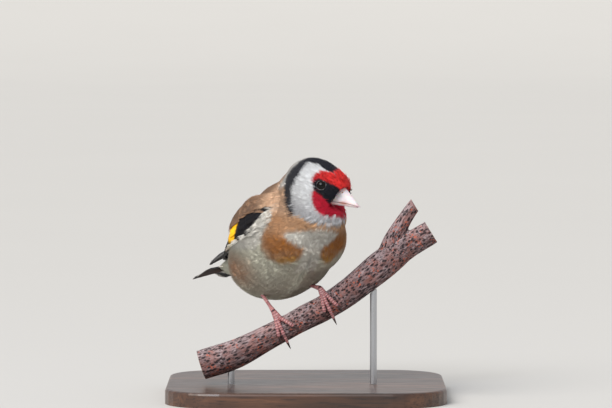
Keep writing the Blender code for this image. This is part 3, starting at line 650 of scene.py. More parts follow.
# each row from its lowest feather to its highest: x and z of roots and tips, widths, lifts off the bed
wingRows = {
    "primaries": {
        "count": 9, "roots": ((-12.0, 26.6), (-17.0, 31.0)), "tips": ((-57.5, 14.4), (-39.0, 20.5)),
        "widths": (4.2, 5.6), "rootLift": 0.7, "lifts": (0.45, 1.15), "tilt": 0.22, "bow": -0.6,
        "rachis": -0.18,
    },
    "secondaries": {
        "count": 6, "roots": ((-17.5, 31.0), (-20.0, 34.0)), "tips": ((-39.0, 20.2), (-35.0, 25.0)),
        "widths": (5.6, 6.2), "rootLift": 0.9, "lifts": (1.25, 1.75), "tilt": 0.25, "bow": 0.3,
        "rachis": -0.1,
    },
    "tertials": {
        "count": 3, "roots": ((-16.0, 34.5), (-13.0, 37.5)), "tips": ((-36.0, 27.0), (-26.5, 33.5)),
        "widths": (6.6, 6.4), "rootLift": 1.0, "lifts": (2.0, 2.4), "tilt": 0.25, "bow": 0.4, "rachis": 0.0,
    },
    "primaryCoverts": {
        "count": 6, "roots": ((-3.0, 32.0), (-6.5, 33.5)), "tips": ((-22.5, 23.6), (-20.0, 27.2)),
        "widths": (2.8, 3.4), "rootLift": 0.9, "lifts": (1.2, 1.75), "tilt": 0.18, "bow": 0.0, "rachis": -0.1,
    },
    "greaterCoverts": {
        "count": 9, "roots": ((-5.0, 32.6), (-7.0, 39.6)), "tips": ((-18.5, 27.6), (-22.5, 35.4)),
        "widths": (3.6, 4.4), "rootLift": 1.1, "lifts": (1.9, 2.35), "tilt": 0.2, "bow": 0.0, "rachis": 0.0,
    },
    "alula": {
        "count": 4, "roots": ((1.0, 34.2), (0.0, 35.6)), "tips": ((-11.6, 26.4), (-11.5, 30.0)),
        "widths": (2.6, 3.0), "rootLift": 1.0, "lifts": (1.6, 2.0), "tilt": 0.2, "bow": 0.0, "rachis": -0.1,
    },
    "edgeCoverts": {
        "count": 5, "roots": ((2.6, 36.2), (1.4, 37.0)), "tips": ((-6.6, 28.2), (-7.6, 31.2)),
        "widths": (2.4, 2.6), "rootLift": 1.0, "lifts": (1.7, 2.1), "tilt": 0.16, "bow": 0.0, "rachis": 0.0,
    },
    "medianCoverts": {
        "count": 8, "roots": ((1.0, 35.4), (-2.0, 41.2)), "tips": ((-9.5, 30.7), (-14.0, 38.8)),
        "widths": (3.2, 3.8), "rootLift": 1.1, "lifts": (2.25, 2.55), "tilt": 0.2, "bow": 0.0, "rachis": 0.0,
    },
    "lesserCovertsBack": {
        "count": 8, "roots": ((3.6, 37.2), (1.0, 41.8)), "tips": ((-6.0, 32.6), (-10.0, 40.2)),
        "widths": (2.6, 3.2), "rootLift": 1.0, "lifts": (2.45, 2.7), "tilt": 0.18, "bow": 0.0, "rachis": 0.0,
    },
    "lesserCovertsMiddle": {
        "count": 8, "roots": ((5.4, 38.4), (3.4, 42.2)), "tips": ((-2.0, 34.9), (-5.6, 41.2)),
        "widths": (2.2, 2.7), "rootLift": 0.9, "lifts": (2.4, 2.65), "tilt": 0.16, "bow": 0.0, "rachis": 0.0,
    },
    "lesserCovertsFront": {
        "count": 7, "roots": ((7.6, 39.6), (6.0, 42.6)), "tips": ((1.4, 37.0), (-1.2, 42.0)),
        "widths": (1.9, 2.3), "rootLift": 0.6, "lifts": (2.1, 2.4), "tilt": 0.14, "bow": 0.0, "rachis": 0.0,
    },
}
tailForm = {
    "pairs": 6,
    "root": 17.0,
    "length": 45.5,
    "fork": 4.5,
    "arch": 0.03,
    "widths": (6.4, 5.2),
    "upperCoverts": (9, 12.5, 2.5),
    "underCoverts": (7, 12.0, 2.4),
    "covertWidth": 3.2,
    "covertStep": 1.15,
}
vaneForm = {
    "sections": 40, "strips": 10, "thickness": 0.2, "camber": 0.22, "rachisHeight": 0.16, "split": 0.13
}
vanePaint = {
    "black": "101015",
    "blackWorn": "241f1c",
    "yellow": "f5ba1a",
    "yellowDeep": "e0a20c",
    "tip": "e9e4da",
    "brownEdge": "5c4a3d",
    "white": "e8e6e0",
}


def makeBlank(sections, strips):
    clearSelection()
    bpy.ops.mesh.primitive_grid_add(
        x_subdivisions=sections, y_subdivisions=strips, size=1.0, location=(0, 0, 0)
    )
    blank = bpy.context.object
    blank.name = "vaneBlank%d" % sections
    bpy.ops.object.mode_set(mode="EDIT")
    bpy.ops.mesh.select_all(action="SELECT")
    bpy.ops.transform.translate(value=(0.5, 0, 0))
    bpy.ops.object.mode_set(mode="OBJECT")
    shell = blank.modifiers.new("two faces", "SOLIDIFY")
    shell.thickness = 1.0
    shell.offset = 0.0
    applyAll(blank)
    return blank


def layVane(blank, bed, row, root, tip, width, lifts, paintIt, seed):
    # the blank's x, y and z become the place along, across and through the feather
    count = len(blank.data.vertices)
    flat = np.empty(count * 3)
    blank.data.vertices.foreach_get("co", flat)
    t, a, h = flat.reshape(-1, 3).T
    a = a * 2.0
    rng = np.random.default_rng(seed)
    root, tip = np.array(root, float), np.array(tip, float)
    length = np.linalg.norm(tip - root)
    along = (tip - root) / length
    across = np.array((-along[1], along[0]))
    if across[1] < 0:
        across = -across
    rounding = min(0.34, 0.55 * width / length)
    end = np.clip((t - 1 + rounding) / rounding, 0, 1)
    outline = (0.42 + 0.58 * ramp(t, -0.1, 0.5)) * np.sqrt(np.clip(1 - end**2.2, 0.0, 1)) + 0.004
    # little splits between the barbs, at the same places of both faces
    knots = np.linspace(0, 1, 60)
    fray = rng.normal(0, 1, (2, 60)) * vaneForm["split"] * 0.5
    fray[:, rng.integers(14, 58, 3)] -= vaneForm["split"] * 1.6
    edge = np.where(a > 0, np.interp(t, knots, fray[0]), np.interp(t, knots, fray[1]))
    half = width / 2 * outline + edge * ramp(np.abs(a), 0.5, 1.0) * outline
    shift = row["bow"] * np.sin(np.pi * t)
    px = root[0] + (tip[0] - root[0]) * t + across[0] * (a * half + shift)
    pz = root[1] + (tip[1] - root[1]) * t + across[1] * (a * half + shift)
    px = px + along[0] * rng.normal(0, 0.05) * length * 0.2
    lift = lifts[0] + (lifts[1] - lifts[0]) * t
    lift = lift - row["tilt"] * a + vaneForm["camber"] * (1 - a * a) * outline
    spine = np.exp(-(((a - row["rachis"]) / 0.13) ** 2)) * (1 - 0.7 * t)
    thick = vaneForm["thickness"] * (1 - 0.55 * np.abs(a)) * (1 - 0.5 * t)
    lift = lift + h * thick + np.where(h > 0, spine * vaneForm["rachisHeight"], 0)
    mesh = blank.data.copy()
    vane = bpy.data.objects.new("vane", mesh)
    bpy.context.scene.collection.objects.link(vane)
    co = bed(px, pz, lift)
    mesh.vertices.foreach_set("co", co.ravel())
    paintPoints(vane, paintIt(t, a, length, px, pz, rng))
    for name, values in (("vaneAlong", t * length), ("vaneAcross", a * width / 2)):
        mesh.attributes.new(name, "FLOAT", "POINT").data.foreach_set("value", values.astype(np.float32))
    mesh.update()
    return vane


def wingSurface(side):
    step = wingForm["step"]
    xs, zs = np.arange(-64.0, 14.1, 1.0), np.arange(6.0, 50.1, 1.0)

    def outward(x, z):
        hit = fleshInBody.ray_cast(Vector((x, side * 60.0, z)), Vector((0.0, -side, 0.0)))[0]
        fleshOut = abs(hit.y) if hit else 0.0
        height = max(z - between(wingForm["low"], x), 0.0)
        floor = (
            between(wingForm["floor"], x) - height**3 / wingForm["rounding"]
            - height * between(wingForm["lean"], x)
        )
        return (fleshOut + floor + math.hypot(fleshOut - floor, 2.0)) / 2

    grid = np.zeros((len(xs), len(zs), 6))
    for i, x in enumerate(xs):
        for j, z in enumerate(zs):
            alongX = Vector((2 * step, side * (outward(x + step, z) - outward(x - step, z)), 0.0))
            alongZ = Vector((0.0, side * (outward(x, z + step) - outward(x, z - step)), 2 * step))
            normal = alongX.cross(alongZ).normalized()
            if normal.y * side < 0:
                normal.negate()
            grid[i, j] = (x, side * outward(x, z), z, *normal)
    matrix = np.array(bodyFrame)

    def bed(x, z, lift):
        i = np.clip((x - xs[0]), 0, len(xs) - 1.001)
        j = np.clip((z - zs[0]), 0, len(zs) - 1.001)
        i0, j0 = i.astype(int), j.astype(int)
        u, v = (i - i0)[:, None], (j - j0)[:, None]
        value = (
            grid[i0, j0] * (1 - u) * (1 - v) + grid[i0 + 1, j0] * u * (1 - v)
            + grid[i0, j0 + 1] * (1 - u) * v + grid[i0 + 1, j0 + 1] * u * v
        )
        # the wing's bend sinks into the side of the breast
        lift = lift - 3.4 * ramp(x, -2.0, 8.0)
        point = value[:, :3] + unit(value[:, 3:]) * lift[:, None]
        return (point @ matrix[:3, :3].T + matrix[:3, 3]) * mm

    return bed


def tailSurface(sign):
    matrix = np.array(tailFrame)

    def bed(x, y, lift):
        point = np.stack([-x, y, sign * (lift - tailForm["arch"] * y * y)], axis=1)
        return (point @ matrix[:3, :3].T + matrix[:3, 3]) * mm

    return bed


def mixed(base, name, amount):
    amount = np.clip(amount, 0, 1)[:, None]
    return base * (1 - amount) + np.array(linear(vanePaint[name])) * amount


def wingColours(rowName):
    def colours(t, a, length, x, z, rng):
        base = np.tile(np.array(linear(vanePaint["black"])), (len(t), 1))
        base = mixed(base, "blackWorn", np.full(len(t), rng.uniform(0.0, 0.35)))
        fray = rng.normal(0, 0.25, len(t))
        fromTip = (1 - t) * length
        if rowName in ("primaries", "secondaries"):
            outer = fall(a, -0.25, 0.1)
            yellow = ramp(x + fray, -24.5, -22.5) * np.maximum(outer, 0.35)
            base = mixed(base, "yellow", yellow)
            base = mixed(base, "tip", ramp(-fromTip - fray, -1.4, -0.7) * 0.4)
            base = mixed(base, "blackWorn", fall(a, -1.0, -0.75) * 0.8)
        elif rowName == "tertials":
            base = mixed(base, "tip", ramp(-fromTip - fray, -3.1, -1.9) * 0.9)
            base = mixed(base, "brownEdge", ramp(np.abs(a), 0.7, 1.0) * 0.5)
        elif rowName == "greaterCoverts":
            base = mixed(base, "yellow", ramp(-x + fray, 12.2, 13.4))
            base = mixed(base, "yellowDeep", fall(x, -13.4, -12.2) * fall(fromTip, 0.0, 1.5) * 0.5)
        elif rowName == "primaryCoverts":
            base = mixed(
                base, "yellow", ramp(-x + fray, 13.4, 14.6) * ramp(z, 23.5, 26.0) * ramp(x, -20.5, -19.0)
            )
        return base * (1 + rng.uniform(-0.12, 0.12))

    return colours


def tailColours(outward):
    def colours(t, a, length, x, y, rng):
        base = np.tile(np.array(linear(vanePaint["black"])), (len(t), 1))
        fromTip = (1 - t) * length
        fray = rng.normal(0, 0.3, len(t))
        if outward > 0.5:
            inner = ramp(-a * np.sign(y + 1e-6), -0.15, 0.2)
            base = mixed(
                base, "white", ramp(fromTip + fray, 5.0, 7.0) * fall(fromTip, 13.5, 16.0) * inner * 0.95
            )
        base = mixed(base, "tip", ramp(-fromTip - fray, -1.8, -0.8) * 0.6)
        base = mixed(base, "brownEdge", ramp(np.abs(a), 0.8, 1.0) * 0.45)
        return base * (1 + rng.uniform(-0.12, 0.12))

    return colours


def tailCovertColours(name):
    def colours(t, a, length, x, y, rng):
        base = np.tile(np.array(linear(plumage["rump"])), (len(t), 1))
        base = base * (1 - 0.25 * ramp(t, 0.6, 1.0) * (name == "upper"))[:, None]
        return base * (1 + rng.uniform(-0.06, 0.06))

    return colours


def flightFeatherMaterial():
    # stiff barbs hooked into a closed vane: a low satin gloss that runs across the barbs
    material = newMaterial("FlightFeatherSatin", {"Roughness": 0.58, "IOR": 1.54, "Specular IOR Level": 0.1})
    colour = attribute(material, "featherColour", "Color")
    along = attribute(material, "vaneAlong")
    across = attribute(material, "vaneAcross")
    away = maths(material, "ABSOLUTE", across)
    slant = maths(material, "MULTIPLY", away, 0.9)
    lean = maths(material, "SUBTRACT", along, slant)
    turns = maths(material, "MULTIPLY", lean, 2 * math.pi / 0.42)  # a barb each 0.42 mm, drawn coarse
    wave = maths(material, "SINE", turns)
    where = addNode(material, "TexCoord").outputs["Object"]
    worn = noiseOn(material, where, 700.0, 3.0)
    barbShade = ranged(material, wave, -1.0, 1.0, 0.93, 1.03)
    wornShade = ranged(material, worn, 0.3, 0.7, 0.85, 1.15)
    both = maths(material, "MULTIPLY", barbShade, wornShade)
    colourTimes(material, colour, both)
    addBump(material, wave, 0.1, 0.00004)
    rough = ranged(material, worn, 0.3, 0.7, 0.5, 0.68)
    wire(material, rough, "Roughness")
    return material


satinFeather = flightFeatherMaterial()
longBlank = makeBlank(vaneForm["sections"], vaneForm["strips"])
shortBlank = makeBlank(vaneForm["sections"] // 2, vaneForm["strips"] - 2)


def makeWing(side, name, seed):
    bed = wingSurface(side)
    vanes = []
    for rowName, row in wingRows.items():
        (rootA, rootB), (tipA, tipB) = row["roots"], row["tips"]
        for n in range(row["count"]):
            share = n / (row["count"] - 1)
            root = [p + (q - p) * share for p, q in zip(rootA, rootB)]
            tip = [p + (q - p) * share for p, q in zip(tipA, tipB)]
            width = row["widths"][0] + (row["widths"][1] - row["widths"][0]) * share
            lift = row["lifts"][0] + (row["lifts"][1] - row["lifts"][0]) * share
            blank = longBlank if math.dist(root, tip) > 15.0 else shortBlank
            seed += 1
            vanes.append(
                layVane(
                    blank, bed, row, root, tip, width, (row["rootLift"], lift), wingColours(rowName), seed
                )
            )
    wing = joined(name, vanes)
    return finishPiece(wing, satinFeather, (name.replace("Feathers", ""),))


def makeTail():
    vanes = []
    for pair in range(tailForm["pairs"]):
        outward = pair / (tailForm["pairs"] - 1)
        length = tailForm["length"] + tailForm["fork"] * outward**1.5
        lift = 1.0 - 1.7 * outward
        for side in (1.0, -1.0):
            root = (tailForm["root"] + 2.0, side * (0.7 + 1.9 * outward))
            tip = (length, side * (1.3 + 4.3 * outward))
            width = tailForm["widths"][0] + (tailForm["widths"][1] - tailForm["widths"][0]) * outward
            row = {"bow": 0.0, "tilt": 0.18 * side, "rachis": side * 0.2 * outward}
            lifts = (lift * 0.6, lift + 0.06 * side)
            vanes.append(
                layVane(
                    longBlank, tailSurface(1.0), row, root, tip, width, lifts, tailColours(outward),
                    300 + pair * 2 + int(side)
                )
            )
    for sign, (count, reach, lift), name in (
        (1.0, tailForm["upperCoverts"], "upper"), (-1.0, tailForm["underCoverts"], "under")
    ):
        for layer in range(2):
            for n in range(count):
                y = (n - (count - 1) / 2) * tailForm["covertStep"]
                root = (tailForm["root"] + 2.0 - 4.0 * layer, y)
                tip = (tailForm["root"] + 3.0 + reach - 0.5 * abs(y) - 4.5 * layer, y * 1.3)
                row = {"bow": 0.0, "tilt": 0.1, "rachis": 0.0}
                lifts = (0.9, lift - 0.2 * abs(y) + 0.25 * layer)
                vanes.append(
                    layVane(
                        shortBlank, tailSurface(sign), row, root, tip, tailForm["covertWidth"], lifts,
                        tailCovertColours(name), 400 + 40 * layer + n + int(20 * sign)
                    )
                )
    tail = joined("tailFeathers", vanes)
    return finishPiece(tail, satinFeather, ("tail",))


wings = [makeWing(1.0, "wing_leftFeathers", 1000), makeWing(-1.0, "wing_rightFeathers", 2000)]
say("wings")
makeTail()
for blank in (longBlank, shortBlank):
    bpy.data.objects.remove(blank)
say("tail")


# bill
billForm = {
    "root": 5.0,
    "tip": 18.6,
    "depthUp": 5.0,
    "depthDown": 4.9,
    "halfWidth": 3.7,
    "overhang": 0.7,
    "mouthDrop": 3.9,
    "nostrilAt": (9.7, 1.95, 2.35),
    "nostrilSize": (0.5, 0.4, 0.28),
    "horn": "e4dadc",
    "pink": "e3b8b0",
    "tipGrey": "9a8594",
    "mouth": "c06c52",
}


def billProfile(x):
    t = (x - billForm["root"]) / (billForm["tip"] - billForm["root"])
    ridge = billForm["depthUp"] * (1.0 - t**1.25)
    mouth = -billForm["mouthDrop"] * (1.0 - t) ** 1.5
    under = -billForm["depthDown"] * (1.0 - t) ** 0.95 - 0.25
    half = billForm["halfWidth"] * (1.0 - t) ** 0.85 + 0.12
    return ridge, mouth, under, half


def makeBill(name, rise, material):
    # a ball whose poles lie on the bill's axis, drawn out to the bill's profile
    clearSelection()
    bpy.ops.mesh.primitive_uv_sphere_add(
        segments=40, ring_count=36, radius=1.0, location=(0, 0, 0), rotation=(0, math.radians(90), 0)
    )
    bill = bpy.context.object
    settle(bill)
    end = billForm["tip"] if rise > 0 else billForm["tip"] - billForm["overhang"]
    colours = []
    for v in bill.data.vertices:
        t = (1 + v.co.x) / 2
        x = billForm["root"] + (end - billForm["root"]) * t
        ridge, mouth, under, half = billProfile(min(x, end))
        close = min(1.0, (1 - t) / 0.03 + 0.25) if t < 0.999 else 0.0
        angle = math.atan2(v.co.z, v.co.y)
        foot = mouth + rise * 0.1
        peak = ridge if rise > 0 else under
        if abs(peak - foot) < 0.3:
            peak = foot + rise * 0.3
        # the upper half of the ring is the outside, and the lower half a shallow palate
        sine, cosine = math.sin(angle) * rise, math.cos(angle)
        reach = math.copysign(abs(cosine) ** 0.9, cosine)
        if sine >= 0:
            height = foot + (peak - foot) * sine**0.9 * close
        else:
            height = foot + (peak - foot) * 0.1 * -sine * close
        y = half * reach * (0.25 + 0.75 * close)
        if t > 0.999:
            y, height = 0.0, foot
        v.co = place(headFrame, (x, y, height))
        edge = math.exp(-((height - foot) / 0.55) ** 2)
        tone = np.array(linear(billForm["horn"]))
        tone = tone * (1 - 0.5 * edge) + np.array(linear(billForm["pink"])) * 0.5 * edge
        dark = max(0.0, min(1.0, (t - 0.8) / 0.2)) * 0.75
        tone = tone * (1 - dark) + np.array(linear(billForm["tipGrey"])) * dark
        warm = math.exp(-(((x - 12.0) / 1.6) ** 2)) * edge * 0.9
        tone = tone * (1 - warm) + np.array(linear(billForm["mouth"])) * warm
        colours.append(tone)
    paintPoints(bill, np.array(colours))
    if rise > 0:
        for side in (1.0, -1.0):
            x, y, z = billForm["nostrilAt"]
            clearSelection()
            bpy.ops.mesh.primitive_uv_sphere_add(segments=20, ring_count=12, radius=1.0, location=(0, 0, 0))
            pit = bpy.context.object
            for v in pit.data.vertices:
                v.co = place(
                    headFrame,
                    (
                        x + v.co.x * billForm["nostrilSize"][0],
                        side * y + v.co.y * billForm["nostrilSize"][1],
                        z + v.co.z * billForm["nostrilSize"][2]
                    )
                )
            cut = bill.modifiers.new("nostril", "BOOLEAN")
            cut.operation = "DIFFERENCE"
            cut.solver = "EXACT"
            cut.object = pit
            applyAll(bill)
            bpy.data.objects.remove(pit)
    pick(bill)
    closeSeams()
    bill.name = name
    finishPiece(bill, material, ("bill_upper" if rise > 0 else "bill_lower",))
    pick(bill)
    bpy.ops.object.shade_smooth_by_angle(angle=math.radians(40))
    return bill


def billMaterial():
    # horn: pale, a little translucent, with faint streaks that run to the tip and a soft gloss
    material = newMaterial(
        "BillHornPolished",
        {
            "IOR": 1.54, "Subsurface Weight": 0.25, "Subsurface Scale": 0.0012, "Coat Weight": 0.15,
            "Coat Roughness": 0.25
        }
    )
    colour = attribute(material, "featherColour", "Color")
    where = addNode(material, "TexCoord").outputs["Object"]
    grain = noiseOn(material, where, 900.0, 3.0)
    light = ranged(material, grain, 0.3, 0.7, 0.9, 1.05)
    colourTimes(material, colour, light)
    rough = ranged(material, grain, 0.3, 0.7, 0.34, 0.5)
    wire(material, rough, "Roughness")
    addBump(material, grain, 0.15, 0.0001)
    return material


horn = billMaterial()
bills = [makeBill("billUpper", 1.0, horn), makeBill("billLower", -1.0, horn)]
say("bill")


# eyeballs and the bare ring of the lids
def eyeMaterial():
    # wet cornea over a dark brown iris: nearly black, with a sharp highlight
    material = newMaterial("EyeWetDark", {"Roughness": 0.07, "IOR": 1.376, "Specular IOR Level": 0.35})
    ring = attribute(material, "fromPupil")
    blend = toneOf(material, ring, ((0.4, eyes["pupil"]), (0.47, eyes["iris"]), (0.82, eyes["pupil"])))
    wire(material, blend, "Base Color")
    return material


def lidMaterial():
    # bare skin in small beads, dull and slightly moist
    material = newMaterial(
        "LidSkinBeaded", {"Roughness": 0.5, "IOR": 1.4, "Subsurface Weight": 0.1, "Subsurface Scale": 0.0006}
    )
    where = addNode(material, "TexCoord").outputs["Object"]
    beads = addNode(material, "TexVoronoi", {"Vector": where, "Scale": 3800.0})  # beads of about 0.25 mm
    tone = toneOf(material, beads.outputs["Distance"], ((0.0, "787677"), (1.0, "2a2728")))
    gaps = noiseOn(material, where, 900.0, 2.0)
    gap = ranged(material, gaps, 0.45, 0.58)
    broken = mixOf(material, gap, tone, opaque("19171a"))
    wire(material, broken, "Base Color")
    addBump(material, beads.outputs["Distance"], 0.5, -0.0001)
    return material


wetEye, lidSkin = eyeMaterial(), lidMaterial()


def makeEye(side, name):
    centre, normal = eyeSpots[side]
    outward = (headFrame.to_3x3() @ normal).normalized()
    turn = outward.to_track_quat("Z", "Y")
    middle = place(headFrame, centre)
    clearSelection()
    bpy.ops.mesh.primitive_uv_sphere_add(
        segments=48, ring_count=32, radius=eyes["radius"] * mm, location=middle, rotation=turn.to_euler()
    )
    ball = bpy.context.object
    ball.name = "eyeball" + name
    # the cornea bulges a little
    heights = [v.co.z / (eyes["radius"] * mm) for v in ball.data.vertices]
    for v, height in zip(ball.data.vertices, heights):
        if height > 0.75:
            v.co.z += (height - 0.75) * 0.4 * mm
    values = np.array(
        [math.sqrt(max(0.0, 1 - min(1.0, h) ** 2)) if h > 0 else 1.0 for h in heights], np.float32
    )
    ball.data.attributes.new("fromPupil", "FLOAT", "POINT").data.foreach_set("value", values)
    finishPiece(ball, wetEye, ("eye_left" if side > 0 else "eye_right",))
    clearSelection()
    height = math.sqrt(eyes["radius"] ** 2 - eyes["opening"] ** 2)
    bpy.ops.mesh.primitive_torus_add(
        location=middle + outward * (height + 0.12) * mm, rotation=turn.to_euler(), major_segments=64,
        minor_segments=14,
        major_radius=(eyes["opening"] + 0.02) * mm, minor_radius=0.17 * mm,
    )
    lid = bpy.context.object
    lid.name = "lid" + name
    for v in lid.data.vertices:
        angle = math.atan2(v.co.y, v.co.x)
        v.co *= 1.0 + 0.02 * math.sin(9 * angle) + 0.012 * math.sin(23 * angle)
        v.co.y *= 0.94
    finishPiece(lid, lidSkin)


makeEye(1.0, "Left")
makeEye(-1.0, "Right")
say("eyes")


# the coat: every small feather is a fan of thin solid strands
coatForm = {
    "faceSpikes": 46000,
    "bodyFeathers": 25500,
    "strands": 4,
    "lengths": {
        "face": 1.3, "cheek": 2.1, "crown": 2.2, "neck": 3.6, "breast": 4.6, "belly": 5.6, "flank": 6.2,
        "mantle": 4.6, "rump": 5.6
    },
    "faceWidth": 0.16,
    "bodyWidth": 0.21,
    "fan": 0.28,
    "wobble": 0.03,
    "stray": 0.045,
    "flankPuff": 1.9,
    "sidePuff": 1.2,
    "shoulderPuff": 1.6,
    "foldDepth": 0.55,
    "scapularLift": 0.9,
    "wingLift": 0.4,
    "faceShades": (0.62, 0.88, 1.0),  # at root, middle and tip: darker at the root, partly grey down and partly painted shade in the depth of the coat
    "bodyShades": (0.74, 0.96, 1.02),
    "seed": 27,
}


def treeOfMany(objs):
    corners, faces = [], []
    for obj in objs:
        start = len(corners)
        obj.data.calc_loop_triangles()
        corners += [v.co.copy() for v in obj.data.vertices]
        faces += [tuple(start + n for n in t.vertices) for t in obj.data.loop_triangles]
    return BVHTree.FromPolygons(corners, faces)


def scatter(obj, weightOf, count, rng):
    mesh = obj.data
    mesh.calc_loop_triangles()
    number = len(mesh.loop_triangles)
    corners = np.empty(number * 3, np.int32)
    loops = np.empty(number * 3, np.int32)
    areas = np.empty(number)
    mesh.loop_triangles.foreach_get("vertices", corners)
    mesh.loop_triangles.foreach_get("loops", loops)
    mesh.loop_triangles.foreach_get("area", areas)
    co = np.empty(len(mesh.vertices) * 3)
    mesh.vertices.foreach_get("co", co)
    normals = np.empty(len(mesh.vertices) * 3)
    mesh.vertex_normals.foreach_get("vector", normals)
    uv = np.empty(len(mesh.loops) * 2)
    mesh.uv_layers["OFBake"].data.foreach_get("uv", uv)
    co, normals, uv = co.reshape(-1, 3), normals.reshape(-1, 3), uv.reshape(-1, 2)
    corners, loops = corners.reshape(-1, 3), loops.reshape(-1, 3)
    weight = areas * weightOf(co[corners].mean(axis=1))
    chosen = rng.choice(number, count, p=weight / weight.sum())
    u, v = rng.random((2, count, 1))
    over = (u + v) > 1
    u, v = np.where(over, 1 - u, u), np.where(over, 1 - v, v)
    w = 1 - u - v

    def at(values):
        return values[:, 0] * u + values[:, 1] * v + values[:, 2] * w

    return at(co[corners[chosen]]), unit(at(normals[corners[chosen]])), at(uv[loops[chosen]])


def headShare(points, near=14.5, far=21.0):
    inHead = inFrame(headFrame, points)
    return 1 - ramp(np.linalg.norm(inHead - np.array((-1.5, 0, -1.0)), axis=1), near, far)


def lieOf(points, normals):
    # away from the bill on the head, and back along the body elsewhere
    onHead = headShare(points, 10.5, 19.0)[:, None]
    fromBill = unit(points - np.array(place(headFrame, (11.0, 0.0, -0.5))))
    inBody = inFrame(bodyFrame, points)
    turn = np.array(bodyFrame)[:3, :3]
    sideways = np.abs(unit(normals) @ turn)[:, 1:2]
    front = np.array((-0.77, 0.0, -0.64))
    level = np.array((-0.94, 0.0, -0.34))
    rear = np.array((-0.96, 0.0, -0.28))
    share = ramp(sideways, 0.55, 0.95)
    way = front * (1 - share) + level * share
    back = fall(inBody[:, 0:1], -28.0, -14.0)
    way = way * (1 - back) + rear * back
    # the belly's feathers part a little at the middle
    low = fall(inBody[:, 2:3], 16.0, 24.0) * ramp(inBody[:, 0:1], -12.0, 2.0)
    off = inBody[:, 1:2] - between(breastMidline, inBody[:, 2])[:, None]
    way = way + np.array((0.0, 1.0, 0.0)) * np.sign(off) * 0.3 * low * np.exp(-((off / 7.0) ** 2))
    way = way @ turn.T
    way = fromBill * onHead + way * (1 - onHead)
    way = way - normals * (way * normals).sum(axis=1, keepdims=True)
    return unit(way)


def hitsAlong(tree, points, normals, reach):
    found, facing = points.copy(), normals.copy()
    for n in range(len(points)):
        start = Vector(points[n] + normals[n] * reach)
        hit, normal = tree.ray_cast(start, Vector(-normals[n]), reach * 2.2)[:2]
        if hit is None:
            hit, normal = tree.find_nearest(Vector(points[n]))[:2]
        found[n] = hit
        way = np.array(normal)
        facing[n] = way if way @ normals[n] > 0 else -way
    return found, facing


def isCovered(tree, points, normals, reach):
    return np.array(
        [tree.ray_cast(Vector(p), Vector(n), reach)[0] is not None for p, n in zip(points, normals)]
    )


def strandMesh(name, rootAt, midAt, tipAt, side, up, width, colours, uvs, straight):
    # a three-sided strand with a middle ring, or a plain spike
    count = len(rootAt)
    half = (side * (width / 2)[:, None])
    rise = up * (width * 0.2)[:, None]
    if straight:
        points = np.stack([rootAt - half, rootAt + half, rootAt + rise, tipAt], axis=1)
        faces = np.array(((0, 2, 1), (0, 1, 3), (1, 2, 3), (2, 0, 3)))
        sizes = np.full(4, 3)
        shade = (0, 0, 0, 2)
    else:
        points = np.stack(
            [rootAt - half, rootAt + half, rootAt + rise, midAt - half, midAt + half, midAt + rise, tipAt],
            axis=1
        )
        loopList = (0, 2, 1), (0, 1, 4, 3), (1, 2, 5, 4), (2, 0, 3, 5), (3, 4, 6), (4, 5, 6), (5, 3, 6)
        faces = np.array([n for loop in loopList for n in loop])
        sizes = np.array([len(loop) for loop in loopList])
        shade = (0, 0, 0, 1, 1, 1, 2)
    perStrand = points.shape[1]
    flatFaces = faces.ravel()
    loops = (np.arange(count)[:, None] * perStrand + flatFaces[None, :]).ravel()
    sizeAll = np.tile(sizes, count)
    starts = np.concatenate([[0], np.cumsum(sizeAll)[:-1]])
    mesh = bpy.data.meshes.new(name)
    mesh.vertices.add(count * perStrand)
    mesh.vertices.foreach_set("co", points.reshape(-1))
    mesh.loops.add(len(loops))
    mesh.loops.foreach_set("vertex_index", loops.astype(np.int32))
    mesh.polygons.add(len(sizeAll))
    mesh.polygons.foreach_set("loop_start", starts.astype(np.int32))
    mesh.polygons.foreach_set("loop_total", sizeAll.astype(np.int32))
    mesh.update(calc_edges=True)
    obj = bpy.data.objects.new(name, mesh)
    bpy.context.scene.collection.objects.link(obj)
    paintPoints(obj, colours[:, list(shade)].reshape(-1, 3))
    layer = mesh.uv_layers.new(name="OFBake")
    corner = np.array(
        [
            (0, 0), (0.003, 0), (0.0015, 0.003), (0, 0.0015), (0.003, 0.0015), (0.0015, 0.001),
            (0.0015, 0.003)
        ][:perStrand]
    )
    spread = np.repeat(uvs, len(flatFaces), axis=0) + np.tile(corner[flatFaces], (count, 1)) - 0.0015
    layer.data.foreach_set("uv", np.clip(spread, 0.0, 1.0).ravel().astype(np.float32))
    return obj


# copies of the colours for root, middle and tip, darker towards the root: partly the grey down, partly
# painted shade
def depthShades(shades, colours):
    return np.stack([colours * shade for shade in shades], axis=1)


def eyeClear(points, reach):
    keep = np.ones(len(points), bool)
    for centre, normal in eyeSpots.values():
        middle = np.array(place(headFrame, centre))
        outward = np.array((headFrame.to_3x3() @ normal).normalized())
        away = points - middle
        along = away @ outward
        ring = np.linalg.norm(away - along[:, None] * outward, axis=1)
        keep &= ~((ring < reach * mm) & (along > 0))
    return keep


def layGroups(groups, values, straight):  # the strands of each group become one piece
    for name, mask in groups.items():
        chosen = [None if value is None else value[mask] for value in values]
        finishPiece(strandMesh(name, *chosen, straight), softFeather)
        say("%s %d strands" % (name, mask.sum()))


